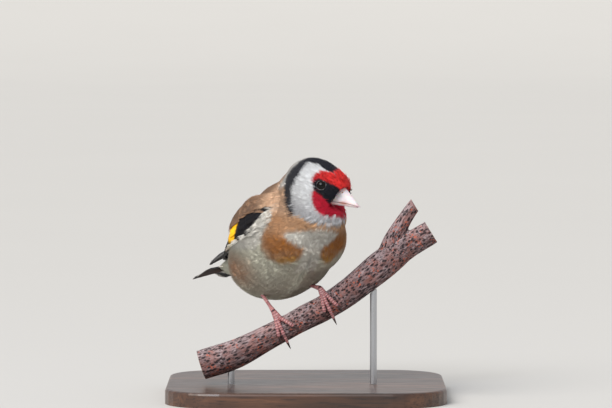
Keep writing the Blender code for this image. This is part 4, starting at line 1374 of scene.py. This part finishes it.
def makeFaceCoat(rng):
    rootAt, normals, uvs = scatter(
        skin, lambda p: headShare(p) * (1 + 0.8 * headShare(p, 6, 13)), coatForm["faceSpikes"], rng
    )
    lie = lieOf(rootAt, normals)
    inHead = inFrame(headFrame, rootAt)
    reach = np.linalg.norm(inHead, axis=1)
    back = np.degrees(np.arccos(np.clip(inHead[:, 0] / reach, -1, 1)))
    roll = np.degrees(np.arctan2(np.abs(inHead[:, 1]), inHead[:, 2]))
    sizes = coatForm["lengths"]
    length = np.interp(
        back, (0, 29, 40, 85, 110, 180), (0.25, 0.35, 0.8, sizes["face"], sizes["cheek"], sizes["crown"])
    )
    length = length * rng.uniform(0.75, 1.2, len(length)) * mm
    length *= 1 + 0.5 * ramp(reach, 15.0, 19.0)
    side = unit(np.cross(normals, lie))
    lie = unit(lie + side * rng.normal(0, 0.16, (len(lie), 1)))
    tipAt = rootAt + lie * length[:, None]
    keep = eyeClear(rootAt, eyes["opening"] + 0.1) & eyeClear(tipAt, eyes["opening"] + 0.02)
    keep &= ~isCovered(treeOfMany(bills), rootAt - normals * 0.2 * mm, normals, 2.5 * mm)
    rootAt, normals, uvs, lie, side, tipAt, length, back, roll, reach = (
        values[keep] for values in (rootAt, normals, uvs, lie, side, tipAt, length, back, roll, reach)
    )
    landed, facing = hitsAlong(skinTree, tipAt, normals, 4 * mm)
    # the lift at the tip makes the coat's depth, with more on the cheeks than round the bill
    lift = (
        np.interp(back, (0, 30, 50, 90, 130, 180), (0.1, 0.16, 0.4, 0.6, 0.85, 0.85))
        * rng.uniform(0.7, 1.15, len(back))
    )
    lift += 0.25 * ramp(reach, 14.0, 18.0)
    tipAt = landed + facing * lift[:, None] * mm
    wander = rng.normal(0, 0.6, (len(rootAt), 3))
    colours = markings(rootAt + (tipAt - rootAt) * 0.7, wander)
    colours *= rng.uniform(0.9, 1.06, (len(colours), 1))
    # dark flecks on the red brow
    redness = (colours[:, 0] > 0.3) & (colours[:, 1] < 0.12)
    clump = np.array([noise.noise(Vector(p) * 900.0) for p in rootAt])
    flecks = redness & (roll < 100) & (clump > 0.18) & (rng.random(len(roll)) < 0.55)
    colours[flecks] *= 0.22
    # darker at the root: partly grey down, partly painted shade in the depth of the coat
    whole = depthShades(coatForm["faceShades"], colours)
    width = (
        coatForm["faceWidth"] * rng.uniform(0.75, 1.2, len(rootAt)) * mm
        * np.interp(back, (0, 60, 120), (0.75, 0.9, 1.15))
    )
    groups = {
        "coatFace": back < 84,
        "coatCheeks": (back >= 84) & (roll > 35),
        "coatCrown": (back >= 84) & (roll <= 35),
    }
    sunk = rootAt - normals * 0.1 * mm
    layGroups(groups, (sunk, None, tipAt, side, normals, width, whole, uvs), True)


def makeBodyCoat(rng):
    # thinner under the head's own spikes, and thicker where the side's feathers cover the wing's edge
    def crowding(points):
        x, y, z = inFrame(bodyFrame, points).T
        fringe = (
            np.exp(-(((z - between(coverForm["low"], x) + 2.0) / 3.5) ** 2)) * ramp(x, -24.0, -20.0)
            * fall(x, 6.0, 9.0) * (np.abs(y) > 8)
        )
        return (1 - 0.93 * headShare(points, 14.0, 18.5)) * (1 + 1.6 * fringe)

    rootAt, normals, uvs = scatter(skin, crowding, coatForm["bodyFeathers"], rng)
    covers = treeOfMany(wings)
    bedTree = treeOfMany([skin] + wings)
    turn = np.array(bodyFrame)[:3, :3]
    # a root under the wing moves up onto it where the back's or the side's feathers lie over the wing
    covered = isCovered(covers, rootAt, normals, 9 * mm)
    outside, outsideUp = hitsAlong(covers, rootAt, normals, 9 * mm)
    seen = inFrame(bodyFrame, outside)
    overTop = seen[:, 2] - between(coverForm["top"], seen[:, 0])
    overLow = between(coverForm["low"], seen[:, 0]) - seen[:, 2]
    moves = covered & ((overTop > 0) | (overLow > 0)) & (seen[:, 0] > coverForm["rearmost"])
    rootAt = np.where(moves[:, None], outside, rootAt)
    normals = np.where(moves[:, None], outsideUp, normals)
    keep = ~covered | moves
    rootAt, normals, uvs, moves = rootAt[keep], normals[keep], uvs[keep], moves[keep]
    lie = lieOf(rootAt, normals)
    side = unit(np.cross(normals, lie))
    lie = unit(lie + side * rng.normal(0, coatForm["stray"], (len(lie), 1)))
    x, y, z = inFrame(bodyFrame, rootAt).T
    facing = normals @ turn
    upward = facing[:, 2]
    sizes = coatForm["lengths"]
    length = np.full(len(x), sizes["breast"])
    length += (sizes["belly"] - sizes["breast"]) * fall(z, 14.0, 22.0)
    length += (sizes["flank"] - sizes["breast"]) * ramp(np.abs(y), 10.0, 16.0) * fall(x, -8.0, 4.0)
    length += (sizes["mantle"] - length) * ramp(upward, 0.1, 0.5)
    length += (sizes["rump"] - length) * fall(x, -30.0, -24.0)
    length += (sizes["neck"] - length) * headShare(rootAt, 12.0, 21.0)
    length *= rng.uniform(0.8, 1.15, len(x))
    middle = rootAt + lie * (length * 0.5 * mm)[:, None]
    end = rootAt + lie * (length * mm)[:, None]
    midHit, midUp = hitsAlong(bedTree, middle, normals, 5 * mm)
    endHit, endUp = hitsAlong(bedTree, end, normals, 5 * mm)
    onWing = np.linalg.norm(endHit - skinNearest(endHit), axis=1) > 0.6 * mm
    ends = inFrame(bodyFrame, endHit)
    depth = np.minimum(
        ends[:, 2] - between(coverForm["low"], ends[:, 0]), between(coverForm["top"], ends[:, 0]) - ends[:, 2]
    )
    tooFar = onWing & (ends[:, 0] > coverForm["rearmost"]) & (depth > rng.uniform(0.0, 0.9, len(x)))
    strays = onWing & ((x < -24.0) | (ends[:, 0] < coverForm["rearmost"]))
    keep = ~tooFar & ~strays
    rootAt, normals, uvs, lie, side, x, y, z, upward = (
        values[keep] for values in (rootAt, normals, uvs, lie, side, x, y, z, upward)
    )
    length, midHit, midUp, endHit, endUp, onWing, moves, facing = (
        values[keep] for values in (length, midHit, midUp, endHit, endUp, onWing, moves, facing)
    )
    lift = bareForm["coatDepth"] * rng.uniform(0.95, 1.05, len(x))
    lift += (
        coatForm["flankPuff"] * np.exp(-(((x + 21.0) / 8.0) ** 2) - ((z - 13.0) / 9.0) ** 2)
        * ramp(np.abs(y), 3.0, 9.0) * rng.uniform(0.75, 1.1, len(x))
    )
    lift += (
        coatForm["shoulderPuff"]
        * np.exp(-(((x + 1.0) / 6.0) ** 2) - ((np.abs(y) - 12.0) / 6.0) ** 2 - ((z - 46.0) / 4.0) ** 2)
        * rng.uniform(0.8, 1.05, len(x))
    )
    # the side's feathers puff out to the level of the wing that they cover
    belowWing = between(coverForm["low"], x) - z
    lift += (
        coatForm["sidePuff"] * np.exp(-((belowWing / 5.5) ** 2)) * (belowWing > -2.0) * ramp(x, -20.0, -13.0)
        * fall(x, 3.0, 8.0) * ramp(np.abs(y), 7.0, 11.0)
    )
    lift += 0.25 * ramp(np.abs(y), 12.0, 17.0) * rng.random(len(x)) * (z < 36)
    lift -= (
        coatForm["foldDepth"] * np.exp(-(((y - between(bellyFold, z)) / 0.9) ** 2)) * ramp(x, 1.0, 6.0)
        * ramp(z, 7.0, 11.0) * fall(z, 19.0, 22.5)
    )
    lift = np.where(onWing, np.where(overOf(endHit), coatForm["scapularLift"], coatForm["wingLift"]), lift)
    # a strand that climbs onto the wing leaves the skin in one even slope
    climbs = (onWing | (np.linalg.norm(midHit - skinNearest(midHit), axis=1) > 0.6 * mm)) & ~moves
    endAt = endHit + endUp * (lift * mm)[:, None]
    midPlain = midHit + midUp * (lift * 0.62 * mm)[:, None]
    midClimb = (rootAt + endAt) / 2 + normals * 0.35 * mm
    middle = np.where(climbs[:, None], midClimb, midPlain)
    strands = coatForm["strands"]
    count = len(rootAt)
    tone = rng.uniform(0.97, 1.03, count)
    wander = rng.normal(0, 0.5, (count, 3))
    parts = {
        "rootAt": [], "midAt": [], "tipAt": [], "side": [], "up": [], "width": [], "colour": [], "uv": []
    }
    for k in range(strands):
        off = -1 + 2 * k / (strands - 1)
        off = off + rng.normal(0, 0.15, count)
        spread = coatForm["fan"] * length * 0.5 * off
        shorter = 1 - 0.14 * off**2 + rng.normal(0, 0.05, count)
        jitter = rng.normal(0, coatForm["wobble"], (count, 3))
        rootK = rootAt + side * (spread * 0.35 * mm)[:, None] - normals * 0.15 * mm
        midK = middle + side * (spread * 0.8 * mm)[:, None] + jitter * mm
        tipK = (
            middle + (endAt - middle) * shorter[:, None] + side * (spread * mm)[:, None] + jitter * 1.5 * mm
        )
        colour = markings(rootK + (tipK - rootK) * 0.7, wander + rng.normal(0, 0.3, (count, 3)))
        colour *= (tone * rng.uniform(0.96, 1.03, count))[:, None]
        width = coatForm["bodyWidth"] * rng.uniform(0.75, 1.2, count) * mm
        for values, value in zip(parts.values(), (rootK, midK, tipK, side, midUp, width, colour, uvs)):
            values.append(value)
    whole = {name: np.concatenate(values) for name, values in parts.items()}
    # darker at the root: partly grey down, partly painted shade in the depth of the coat
    shades = depthShades(coatForm["bodyShades"], whole["colour"])
    rear = x < -24.0
    neck = ~rear & (headShare(rootAt, 12.0, 21.0) > 0.12)
    above = ~rear & ~neck & (upward > 0.12) & (facing[:, 0] < 0.35)
    breast = ~rear & ~above & ~neck & (x > 1.0)
    under = ~rear & ~above & ~neck & ~breast & (z < 14.0)
    flankLeft = ~rear & ~above & ~neck & ~breast & ~under & (y > 0)
    flankRight = ~rear & ~above & ~neck & ~breast & ~under & (y <= 0)
    groups = {
        "coatRump": rear, "coatMantle": above, "coatNeck": neck, "coatBreast": breast, "coatBelly": under,
        "coatFlankLeft": flankLeft, "coatFlankRight": flankRight,
    }
    groups = {name: np.tile(group, strands) for name, group in groups.items()}
    whole["colour"] = shades
    layGroups(groups, tuple(whole.values()), False)


def overOf(points):  # whether a point on the wing is above the line to which the back's feathers come down
    at = inFrame(bodyFrame, points)
    return at[:, 2] > between(coverForm["top"], at[:, 0]) - 1.5


def skinNearest(points):
    return np.array([skinTree.find_nearest(Vector(p))[0] for p in points])


rng = np.random.default_rng(coatForm["seed"])
makeFaceCoat(rng)
makeBodyCoat(rng)


# perch
perchForm = {
    "y": -12.0,
    "line": (
        (-42.0, 13.7, 6.1), (-28.0, 18.4, 6.0), (-11.2, 27.0, 5.0), (-1.6, 32.2, 5.1), (8.8, 37.6, 5.4),
        (18.4, 44.2, 5.6), (31.0, 54.4, 6.2), (40.0, 61.0, 5.2), (50.0, 67.2, 4.9),
    ),
    "shoot": ((31.0, 56.0, 3.6), (34.5, 63.4, 3.9), (39.6, 72.4, 3.2), (45.0, 80.0, 2.8), (48.8, 84.8, 2.7)),
    "shootEndY": -9.0,
    "voxel": 0.42,
    "relief": 0.28,
}


perchLine = smoothLine(perchForm["line"], 161)


def onPerch(x, angle, reach):
    z = np.interp(x, perchLine[:, 0], perchLine[:, 1])
    rise = (
        np.interp(x + 1.0, perchLine[:, 0], perchLine[:, 1])
        - np.interp(x - 1.0, perchLine[:, 0], perchLine[:, 1])
    )
    up = Vector((-rise, 0.0, 2.0)).normalized()
    turn = math.radians(angle)
    outward = up * math.cos(turn) + Vector((0.0, -1.0, 0.0)) * math.sin(turn)
    radius = float(np.interp(x, perchLine[:, 0], perchLine[:, 2]))
    return (Vector((x, perchForm["y"], z)) + outward * (radius + reach)) * mm


def barkMaterial():
    # thin smooth bark with pores: dull grey-pink with reddish patches, paler on top as painted light, with
    # dense dark specks and orange flecks
    material = newMaterial("BarkThinSmooth", {"Roughness": 0.86, "IOR": 1.5, "Specular IOR Level": 0.2})
    along = attribute(material, "barkPlace", "Vector")
    where = addNode(material, "TexCoord").outputs["Object"]
    stretched = stretchedOn(material, along, (300.0, 1100.0, 1100.0))
    wide = noiseOn(material, where, 170.0, 5.0, {"Roughness": 0.65})
    streak = noiseOn(material, stretched, 1.0, 4.0, {"Roughness": 0.7})
    base = toneOf(material, streak, ((0.33, "4b3937"), (0.68, "a69496"), (0.5, "715d5e")))
    rosy = ranged(material, wide, 0.42, 0.58)
    reddish = mixOf(material, rosy, base, opaque("8d5d54"))
    toned = mixOf(material, 0.55, base, reddish)
    # painted light: the top of the branch made paler, in streaks
    shading = attribute(material, "barkTop")
    patchy = ranged(material, streak, 0.35, 0.6, 0.35, 1.0)
    paintedTopLight = maths(material, "MULTIPLY", shading, patchy)
    pale = mixOf(material, paintedTopLight, toned, opaque("c0b0b2"))
    # orange flecks 0.5 to 1 mm across, in loose drifts
    flecksAt = addNode(material, "TexVoronoi", {"Vector": where, "Scale": 900.0})
    fleckSize = ranged(material, flecksAt.outputs["Distance"], 0.34, 0.5, 1.0, 0.0)
    fleckPatch = noiseOn(material, where, 320.0, 3.0)
    fleckWhere = ranged(material, fleckPatch, 0.53, 0.62, 0.0, 0.7)
    fleck = maths(material, "MULTIPLY", fleckSize, fleckWhere)
    orange = mixOf(material, fleck, pale, opaque("b5583a"))
    # black pores of two sizes, 0.4 and 0.7 mm, longer along the branch
    marks = orange
    holes = []
    for scale, low, high, most in ((780.0, 0.26, 0.42, 0.92), (1350.0, 0.28, 0.42, 0.7)):
        poresIn = stretchedOn(material, along, (scale * 0.72, scale, scale))
        pores = addNode(material, "TexVoronoi", {"Vector": poresIn, "Scale": 1.0})
        pore = ranged(material, pores.outputs["Distance"], low, high, most, 0.0)
        marks = mixOf(material, pore, marks, opaque("2a2528"))
        holes.append(pore)
    wire(material, marks, "Base Color")
    height = maths(material, "SUBTRACT", streak, holes[0])
    addBump(material, height, 0.9, 0.0004)
    return material


def cutWoodMaterial():
    # fresh saw cut across the grain: pale wood, growth rings and a dark pith
    material = newMaterial("EndGrainSawn", {"Roughness": 0.8, "IOR": 1.5})
    fromPith = attribute(material, "fromPith")
    where = addNode(material, "TexCoord").outputs["Object"]
    rough = noiseOn(material, where, 600.0, 3.0)
    bent = maths(material, "MULTIPLY", rough, 0.5)
    grown = maths(material, "ADD", fromPith, bent)
    turns = maths(material, "MULTIPLY", grown, 2 * math.pi / 0.75)  # a ring each 0.75 mm
    ring = maths(material, "SINE", turns)
    amount = ranged(material, ring, 0.2, 1.0)
    tone = mixOf(material, amount, opaque("d8bf96"), opaque("a98356"))
    pith = ranged(material, fromPith, 0.35, 0.7, 1.0, 0.0)
    dark = mixOf(material, pith, tone, opaque("6b4a2f"))
    wire(material, dark, "Base Color")
    addBump(material, rough, 0.4, 0.0002)
    return material


def makePerch():
    line = smoothLine(perchForm["line"], 81)
    first, last = line[0], line[-1]
    ends = [np.array((line[0] - (line[1] - line[0]) * 3)), np.array((line[-1] + (line[-1] - line[-2]) * 3))]
    ends[0][2], ends[1][2] = first[2], last[2]
    longer = np.vstack([ends[0], line, ends[1]])
    trunk = tubeAlong(
        "trunk", [Vector((x, perchForm["y"], z)) * mm for x, z in longer[:, :2]], longer[:, 2], 28
    )
    shoot = smoothLine(perchForm["shoot"], 31)
    way = shoot[-1] - shoot[-2]
    shootOn = np.vstack([shoot, shoot[-1] + way * 2])
    shootOn[-1, 2] = shoot[-1, 2]
    sideways = np.append(
        np.linspace(perchForm["y"], perchForm["shootEndY"], len(shoot)), perchForm["shootEndY"]
    )
    stem = tubeAlong(
        "stem", [Vector((x, y, z)) * mm for (x, z), y in zip(shootOn[:, :2], sideways)], shootOn[:, 2], 20
    )
    perch = joined("perchWood", [trunk, stem])
    remesh = perch.modifiers.new("one wood", "REMESH")
    remesh.mode = "VOXEL"
    remesh.voxel_size = perchForm["voxel"] * mm
    blend = perch.modifiers.new("soft fork", "SMOOTH")
    blend.factor = 0.5
    blend.iterations = 8
    applyAll(perch)
    # relief of the bark: low swellings and fine ridges
    shootPoints = np.column_stack(
        [shoot[:, 0], np.linspace(perchForm["y"], perchForm["shootEndY"], len(shoot)), shoot[:, 1]]
    )
    trunkPoints = np.column_stack([perchLine[:, 0], np.full(len(perchLine), perchForm["y"]), perchLine[:, 1]])
    runs = [(trunkPoints, perchLine[:, 2], 0.0), (shootPoints, shoot[:, 2], 300.0)]
    barkAt, top = [], []
    normals = [v.normal.copy() for v in perch.data.vertices]
    moved = []
    for v, normal in zip(perch.data.vertices, normals):
        p = np.array(v.co) / mm
        best = None
        for knots, radii, offset in runs:
            far = np.linalg.norm(knots - p, axis=1)
            n = int(far.argmin())
            depth = far[n] - radii[n]
            if best is None or depth < best[0]:
                best = (depth, n, knots, offset)
        depth, n, knots, offset = best
        m = min(max(n, 1), len(knots) - 2)
        way = Vector(knots[m + 1] - knots[m - 1]).normalized()
        away = Vector(p - knots[n])
        up = Vector((0, 0, 1)) - way * way.z
        up.normalize()
        across = way.cross(up)
        flat = away - way * away.dot(way)
        flat.normalize()
        radius = away.length
        spot = Vector(
            (
                n * (0.62 if offset == 0 else 1.0) + offset + away.dot(way), flat.dot(up) * radius,
                flat.dot(across) * radius
            )
        )
        barkAt.append(spot * mm)
        top.append(max(0.0, flat.dot(up)) ** 1.5)
        ridge = noise.fractal(Vector((spot.x * 0.12, spot.y * 0.55, spot.z * 0.55)), 1.0, 2.0, 4)
        swell = noise.noise(Vector((spot.x * 0.09, spot.y * 0.2, spot.z * 0.2)))
        moved.append(v.co + normal * ((ridge * 0.45 + swell * 0.55) * perchForm["relief"] - 0.1) * mm)
    for v, co in zip(perch.data.vertices, moved):
        v.co = co
    perch.data.attributes.new("barkPlace", "FLOAT_VECTOR", "POINT").data.foreach_set(
        "vector", np.array(barkAt, np.float32).ravel()
    )
    # how far the bark faces up, for the painted light on top
    perch.data.attributes.new("barkTop", "FLOAT", "POINT").data.foreach_set(
        "value", (np.array(top) * 0.55).astype(np.float32)
    )
    # sawn off flat at the three ends
    cuts = []
    for knots in (trunkPoints, trunkPoints[::-1], shootPoints[::-1]):
        cuts.append((Vector(knots[0]) * mm, Vector(knots[0] - knots[2]).normalized()))
    for at, way in cuts:
        pick(perch)
        bpy.ops.object.mode_set(mode="EDIT")
        bpy.ops.mesh.select_all(action="SELECT")
        if at.z > 0.08:
            bpy.ops.mesh.select_all(action="DESELECT")
            work = bmesh.from_edit_mesh(perch.data)
            for face in work.faces:
                face.select = (face.calc_center_median() - at).length < 0.008
            bmesh.update_edit_mesh(perch.data)
        bpy.ops.mesh.bisect(plane_co=at, plane_no=way, use_fill=True, clear_outer=True, clear_inner=False)
        bpy.ops.object.mode_set(mode="OBJECT")
    perch.data.update()
    finishPiece(perch, barkMaterial(), ("perch",))
    perch.data.materials.append(cutWoodMaterial())
    pith = np.full(len(perch.data.vertices), 9.0, np.float32)
    for polygon in perch.data.polygons:
        for at, way in cuts:
            if (
                (polygon.center - at).length < 0.0065 and abs((polygon.center - at).dot(way)) < 1e-5
                and polygon.normal.dot(way) > 0.95
            ):
                polygon.material_index = 1
                for n in polygon.vertices:
                    pith[n] = (perch.data.vertices[n].co - at).length / mm
    perch.data.attributes.new("fromPith", "FLOAT", "POINT").data.foreach_set("value", pith)
    pick(perch)
    bpy.ops.object.shade_smooth_by_angle(angle=math.radians(50))
    return perch


perch = makePerch()
say("perch has %d faces" % len(perch.data.polygons))


# legs, toes and claws
legForm = {
    "ankleForward": 2.6,
    "feet": {
        "right": {
            "at": -9.0, "height": 8.3, "shank": (-0.42, 0.76, 0.55),
            "toes": {
                "outer": (-11.4, 103.0, 0.0), "middle": (-9.6, 112.0, 3.0), "inner": (-5.2, 93.0, 0.0),
                "hind": (-11.5, -104.0, 0.0)
            },
        },
        "left": {
            "at": 9.75, "height": 7.8, "shank": (-0.68, 0.70, 0.14),
            "toes": {
                "inner": (6.9, 99.0, 0.0), "middle": (8.7, 112.0, 2.8), "outer": (11.7, 105.0, 0.0),
                "hind": (6.8, -104.0, 0.0)
            },
        },
    },
    "shankLength": 14.5,
    "shankRadius": 0.7,
    "shankShape": ((0.0, 1.5), (0.12, 1.05), (0.5, 0.95), (0.85, 1.1), (1.0, 1.4)),
    "toeRadius": 0.7,
    "knuckles": (1.5, 1.25, 1.25, 0.98, 1.18, 0.92, 1.14, 0.88, 0.78),
    "firstAngle": 40.0,
    "scuteEvery": 0.95,
    "scuteRise": 0.14,
    "clawLength": {"outer": 3.4, "middle": 4.0, "inner": 3.4, "hind": 4.6},
    "clawRadius": 0.5,
    "clawBend": 9.0,
}


def scutedTube(name, points, radii, upAt):
    # plates overlap like tiles: each rises slowly and drops back at its lower edge
    fine = smoothLine(np.array(points) / mm, 1 + 12 * (len(points) - 1))
    width = np.interp(np.linspace(0, 1, len(fine)), np.linspace(0, 1, len(radii)), radii)
    gone = np.concatenate([[0], np.cumsum(np.linalg.norm(np.diff(fine, axis=0), axis=1))])
    saw = (gone / legForm["scuteEvery"]) % 1.0
    width = width * (1 + legForm["scuteRise"] * (saw - 0.4))
    piece = tubeAlong(name, [Vector(p) * mm for p in fine], width)
    paint = np.zeros((len(piece.data.vertices), 3))
    for n, v in enumerate(piece.data.vertices):
        at = int(np.linalg.norm(fine - np.array(v.co) / mm, axis=1).argmin())
        paint[n, 0] = saw[at]
        paint[n, 1] = max(0.0, (Vector(v.co) / mm - Vector(fine[at])).normalized().dot(upAt))
        paint[n, 2] = at / len(fine)
    piece.data.attributes.new("scute", "FLOAT_VECTOR", "POINT").data.foreach_set(
        "vector", paint.astype(np.float32).ravel()
    )
    return piece


def legMaterial():
    # horny plates over bare skin: pinkish brown, darker in the joints, paler at each plate's raised edge as a
    # painted highlight, with a soft shine on each plate
    material = newMaterial(
        "LegSkinScuted", {"IOR": 1.48, "Subsurface Weight": 0.15, "Subsurface Scale": 0.0008}
    )
    scute = attribute(material, "scute", "Vector")
    parts = addNode(material, "SeparateXYZ", {"Vector": scute})
    # dark in each joint, pale at each plate's raised edge: the pale end is a painted highlight
    tone = toneOf(
        material, parts.outputs["X"], ((0.0, "3f2527"), (1.0, "cfa3a3"), (0.22, "8a585a"), (0.7, "a8706f"))
    )
    where = addNode(material, "TexCoord").outputs["Object"]
    mottle = noiseOn(material, where, 1400.0, 2.0)
    lit = ranged(material, mottle, 0.3, 0.7, 0.8, 1.12)
    colourTimes(material, tone, lit)
    rough = ranged(material, parts.outputs["X"], 0.0, 1.0, 0.6, 0.38)
    wire(material, rough, "Roughness")
    addBump(material, mottle, 0.25, 0.00008)
    return material


def clawMaterial():
    # keratin: dark, smooth and slightly glossy, lighter at the root
    material = newMaterial("ClawKeratin", {"Roughness": 0.32, "IOR": 1.54})
    where = addNode(material, "TexCoord").outputs["Object"]
    grain = noiseOn(material, where, 1100.0, 2.0)
    tone = toneOf(material, grain, ((0.0, "2a1f20"), (1.0, "54403f")))
    wire(material, tone, "Base Color")
    return material


scutedSkin, keratin = legMaterial(), clawMaterial()


def toeLine(start, foot, toe):
    x, angle, hang = toe
    reach = legForm["toeRadius"] + 0.3
    first = math.copysign(legForm["firstAngle"], angle)
    points = [start]
    for share in np.linspace(0.0, 1.0, len(legForm["knuckles"]) - 2):
        at = foot["at"] + (x - foot["at"]) * (0.3 + 0.7 * share)
        points.append(onPerch(at, first + (angle - first) * share, reach))
    if hang:
        points.append(points[-1] + (points[-1] - points[-2]).normalized() * hang * mm)
    return points


def makeClaw(name, line, length):
    way = (line[-1] - line[-2]).normalized()
    axis = (line[3] - line[2]).cross(line[-1] - line[-2]).normalized()
    steps = 16
    at = line[-1] - way * 0.3 * mm
    points = [at]
    for step in range(steps):
        at = at + way * (length + 0.6) / steps * mm
        points.append(at)
        way = Matrix.Rotation(math.radians(legForm["clawBend"] * 5 / steps), 3, axis) @ way
    radii = [legForm["clawRadius"] * (1.12 - 1.08 * (step / steps) ** 1.1) for step in range(steps + 1)]
    claw = tubeAlong("claw" + name, points, radii)
    finishPiece(claw, keratin)
    return claw


def makeLeg(sideName, foot):
    centreRadius = float(np.interp(foot["at"], perchLine[:, 0], perchLine[:, 2]))
    ankle = (
        onPerch(foot["at"], 0.0, foot["height"] - centreRadius)
        + Vector((0.0, -legForm["ankleForward"], 0.0)) * mm
    )
    up = Vector(foot["shank"]).normalized()
    top = ankle + up * legForm["shankLength"] * mm
    points = [ankle.lerp(top, share) for share in np.linspace(0, 1, 5)]
    radii = np.interp(np.linspace(0, 1, 5), *zip(*legForm["shankShape"])) * legForm["shankRadius"]
    pieces = [scutedTube("shank", points, radii, Vector((0, -1, 0)))]
    for toeName, toe in foot["toes"].items():
        line = toeLine(ankle, foot, toe)
        widths = [legForm["toeRadius"] * share for share in legForm["knuckles"][:len(line)]]
        pieces.append(scutedTube("toe", line, widths, Vector((0, 0, 1))))
        claw = makeClaw(sideName.title() + toeName.title(), line, legForm["clawLength"][toeName])
        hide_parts("claw_%s_%s" % (sideName, toeName))
    leg = joined("leg" + sideName.title(), pieces)
    return finishPiece(leg, scutedSkin, ("leg_" + sideName,))


for sideName, foot in legForm["feet"].items():
    makeLeg(sideName, foot)
say("legs")


# stand: its solids stay as they are, with better finishes
def standWoodMaterial():
    # dark stained hardwood under satin lacquer: long grain, fine pores and a low coat gloss
    material = newMaterial("WalnutLacquered", {"IOR": 1.5, "Coat Weight": 0.35, "Coat Roughness": 0.22})
    where = addNode(material, "TexCoord").outputs["Object"]
    stretched = stretchedOn(material, where, (12.0, 150.0, 150.0))
    rings = noiseOn(material, stretched, 1.0, 6.0, {"Roughness": 0.6, "Distortion": 0.6})
    pores = stretchedOn(material, where, (110.0, 1600.0, 1600.0))
    fine = noiseOn(material, pores, 1.0, 3.0)
    tone = toneOf(material, rings, ((0.3, "2f1d14"), (0.7, "6a4630"), (0.52, "4a2f20")))
    pore = ranged(material, fine, 0.36, 0.46, 0.55, 1.0)
    colourTimes(material, tone, pore)
    rough = ranged(material, fine, 0.3, 0.7, 0.48, 0.34)
    wire(material, rough, "Roughness")
    addBump(material, fine, 0.12, 0.0001)
    return material


def standSteelMaterial():
    # steel rod brushed along its length: fine lines that stretch the highlight
    material = newMaterial("SteelBrushed", {"Base Color": opaque("b9bbbe"), "Metallic": 1.0})
    where = addNode(material, "TexCoord").outputs["Object"]
    stretched = stretchedOn(material, where, (2600.0, 2600.0, 60.0))
    lines = noiseOn(material, stretched, 1.0, 3.0)
    rough = ranged(material, lines, 0.3, 0.7, 0.22, 0.42)
    wire(material, rough, "Roughness")
    addBump(material, lines, 0.2, 0.00005)
    return material


walnut, steel = standWoodMaterial(), standSteelMaterial()
for nodeName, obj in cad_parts.items():
    if nodeName.startswith("stand_"):
        obj.material_slots[0].material = walnut if nodeName == "stand_base" else steel
say("stand")


# floor, light and camera
studio = {
    "floor": "c9c7c3",
    "floorClouds": "cbc9c5",
    "floorRadius": 6.0,
    "sweepRadius": 8.0,
    "sweepTurn": 34.0,
    "sweepSteps": 12,
    "world": "e9edf3",
    "worldStrength": 0.68,
    "key": {"from": (-0.72, -0.9, 1.12), "spread": 46.0, "strength": 3.0, "tint": "fffaf3"},
    "glint": {"from": (-0.42, -1.1, 0.75), "size": 0.26, "power": 3.5, "tint": "dfe9ff"},
    "imageMm": 612 / 2.5,
    "aim": (0.0, -0.012, 0.0784),
    "distance": 1.5,
    "elevation": 3.0,
}


def makeStudio():
    clearSelection()
    bpy.ops.mesh.primitive_circle_add(
        vertices=128, radius=studio["floorRadius"], fill_type="NGON", location=(0, 0, 0)
    )
    floor = bpy.context.object
    floor.name = "floor"
    # far behind the bird the floor sweeps up, so that no horizon shows
    bpy.ops.object.mode_set(mode="EDIT")
    bpy.ops.mesh.select_mode(type="EDGE")
    bpy.ops.mesh.select_all(action="SELECT")
    bpy.ops.mesh.region_to_loop()
    angles = np.radians(np.linspace(0, studio["sweepTurn"], studio["sweepSteps"] + 1))
    radii = studio["floorRadius"] + studio["sweepRadius"] * np.sin(angles)
    heights = studio["sweepRadius"] * (1 - np.cos(angles))
    for n in range(studio["sweepSteps"]):
        bpy.ops.mesh.extrude_edges_move(
            TRANSFORM_OT_translate={"value": (0, 0, float(heights[n + 1] - heights[n]))}
        )
        grow = float(radii[n + 1] / radii[n])
        bpy.ops.transform.resize(value=(grow, grow, 1.0))
    bpy.ops.mesh.select_mode(type="VERT")
    bpy.ops.mesh.select_all(action="SELECT")
    bpy.ops.mesh.normals_make_consistent(inside=False)
    bpy.ops.object.mode_set(mode="OBJECT")
    bpy.ops.object.shade_smooth()
    material = newMaterial("FloorPaintMatt", {"Roughness": 0.9})  # matt paint: no gloss, only the soft shadow
    where = addNode(material, "TexCoord").outputs["Object"]
    cloud = noiseOn(material, where, 3.0, 2.0)
    tone = mixOf(material, cloud, opaque(studio["floor"]), opaque(studio["floorClouds"]))
    wire(material, tone, "Base Color")
    floor.data.materials.append(material)
    world = bpy.data.worlds.new("studio")
    bpy.context.scene.world = world
    world.use_nodes = True
    sky = world.node_tree.nodes["Background"]
    sky.inputs["Color"].default_value = opaque(studio["world"])
    sky.inputs["Strength"].default_value = studio["worldStrength"]
    for name, kind in (("key", "SUN"), ("glint", "AREA")):
        lamp = bpy.data.lights.new(name + "Light", kind)
        if kind == "SUN":
            lamp.angle = math.radians(studio[name]["spread"])
            lamp.energy = studio[name]["strength"]
        else:
            lamp.size = studio[name]["size"]
            lamp.energy = studio[name]["power"]
        lamp.color = linear(studio[name]["tint"])
        holder = bpy.data.objects.new(name + "Light", lamp)
        bpy.context.scene.collection.objects.link(holder)
        holder.location = studio[name]["from"]
        holder.rotation_euler = (
            (Vector(studio["aim"]) - Vector(studio[name]["from"])).to_track_quat("-Z", "Y").to_euler()
        )
    bpy.context.scene.view_settings.view_transform = "Standard"
    camera = bpy.data.cameras.new("camera")
    camera.sensor_width = 36.0
    camera.lens = 36.0 * studio["distance"] / (studio["imageMm"] * mm)
    camera.clip_end = 200.0
    eye = bpy.data.objects.new("camera", camera)
    bpy.context.scene.collection.objects.link(eye)
    tilt = math.radians(studio["elevation"])
    back = Vector((0.0, -math.cos(tilt), math.sin(tilt)))
    eye.location = Vector(studio["aim"]) + back * studio["distance"]
    eye.rotation_euler = (-back).to_track_quat("-Z", "Y").to_euler()
    bpy.context.scene.camera = eye


makeStudio()
say("studio")
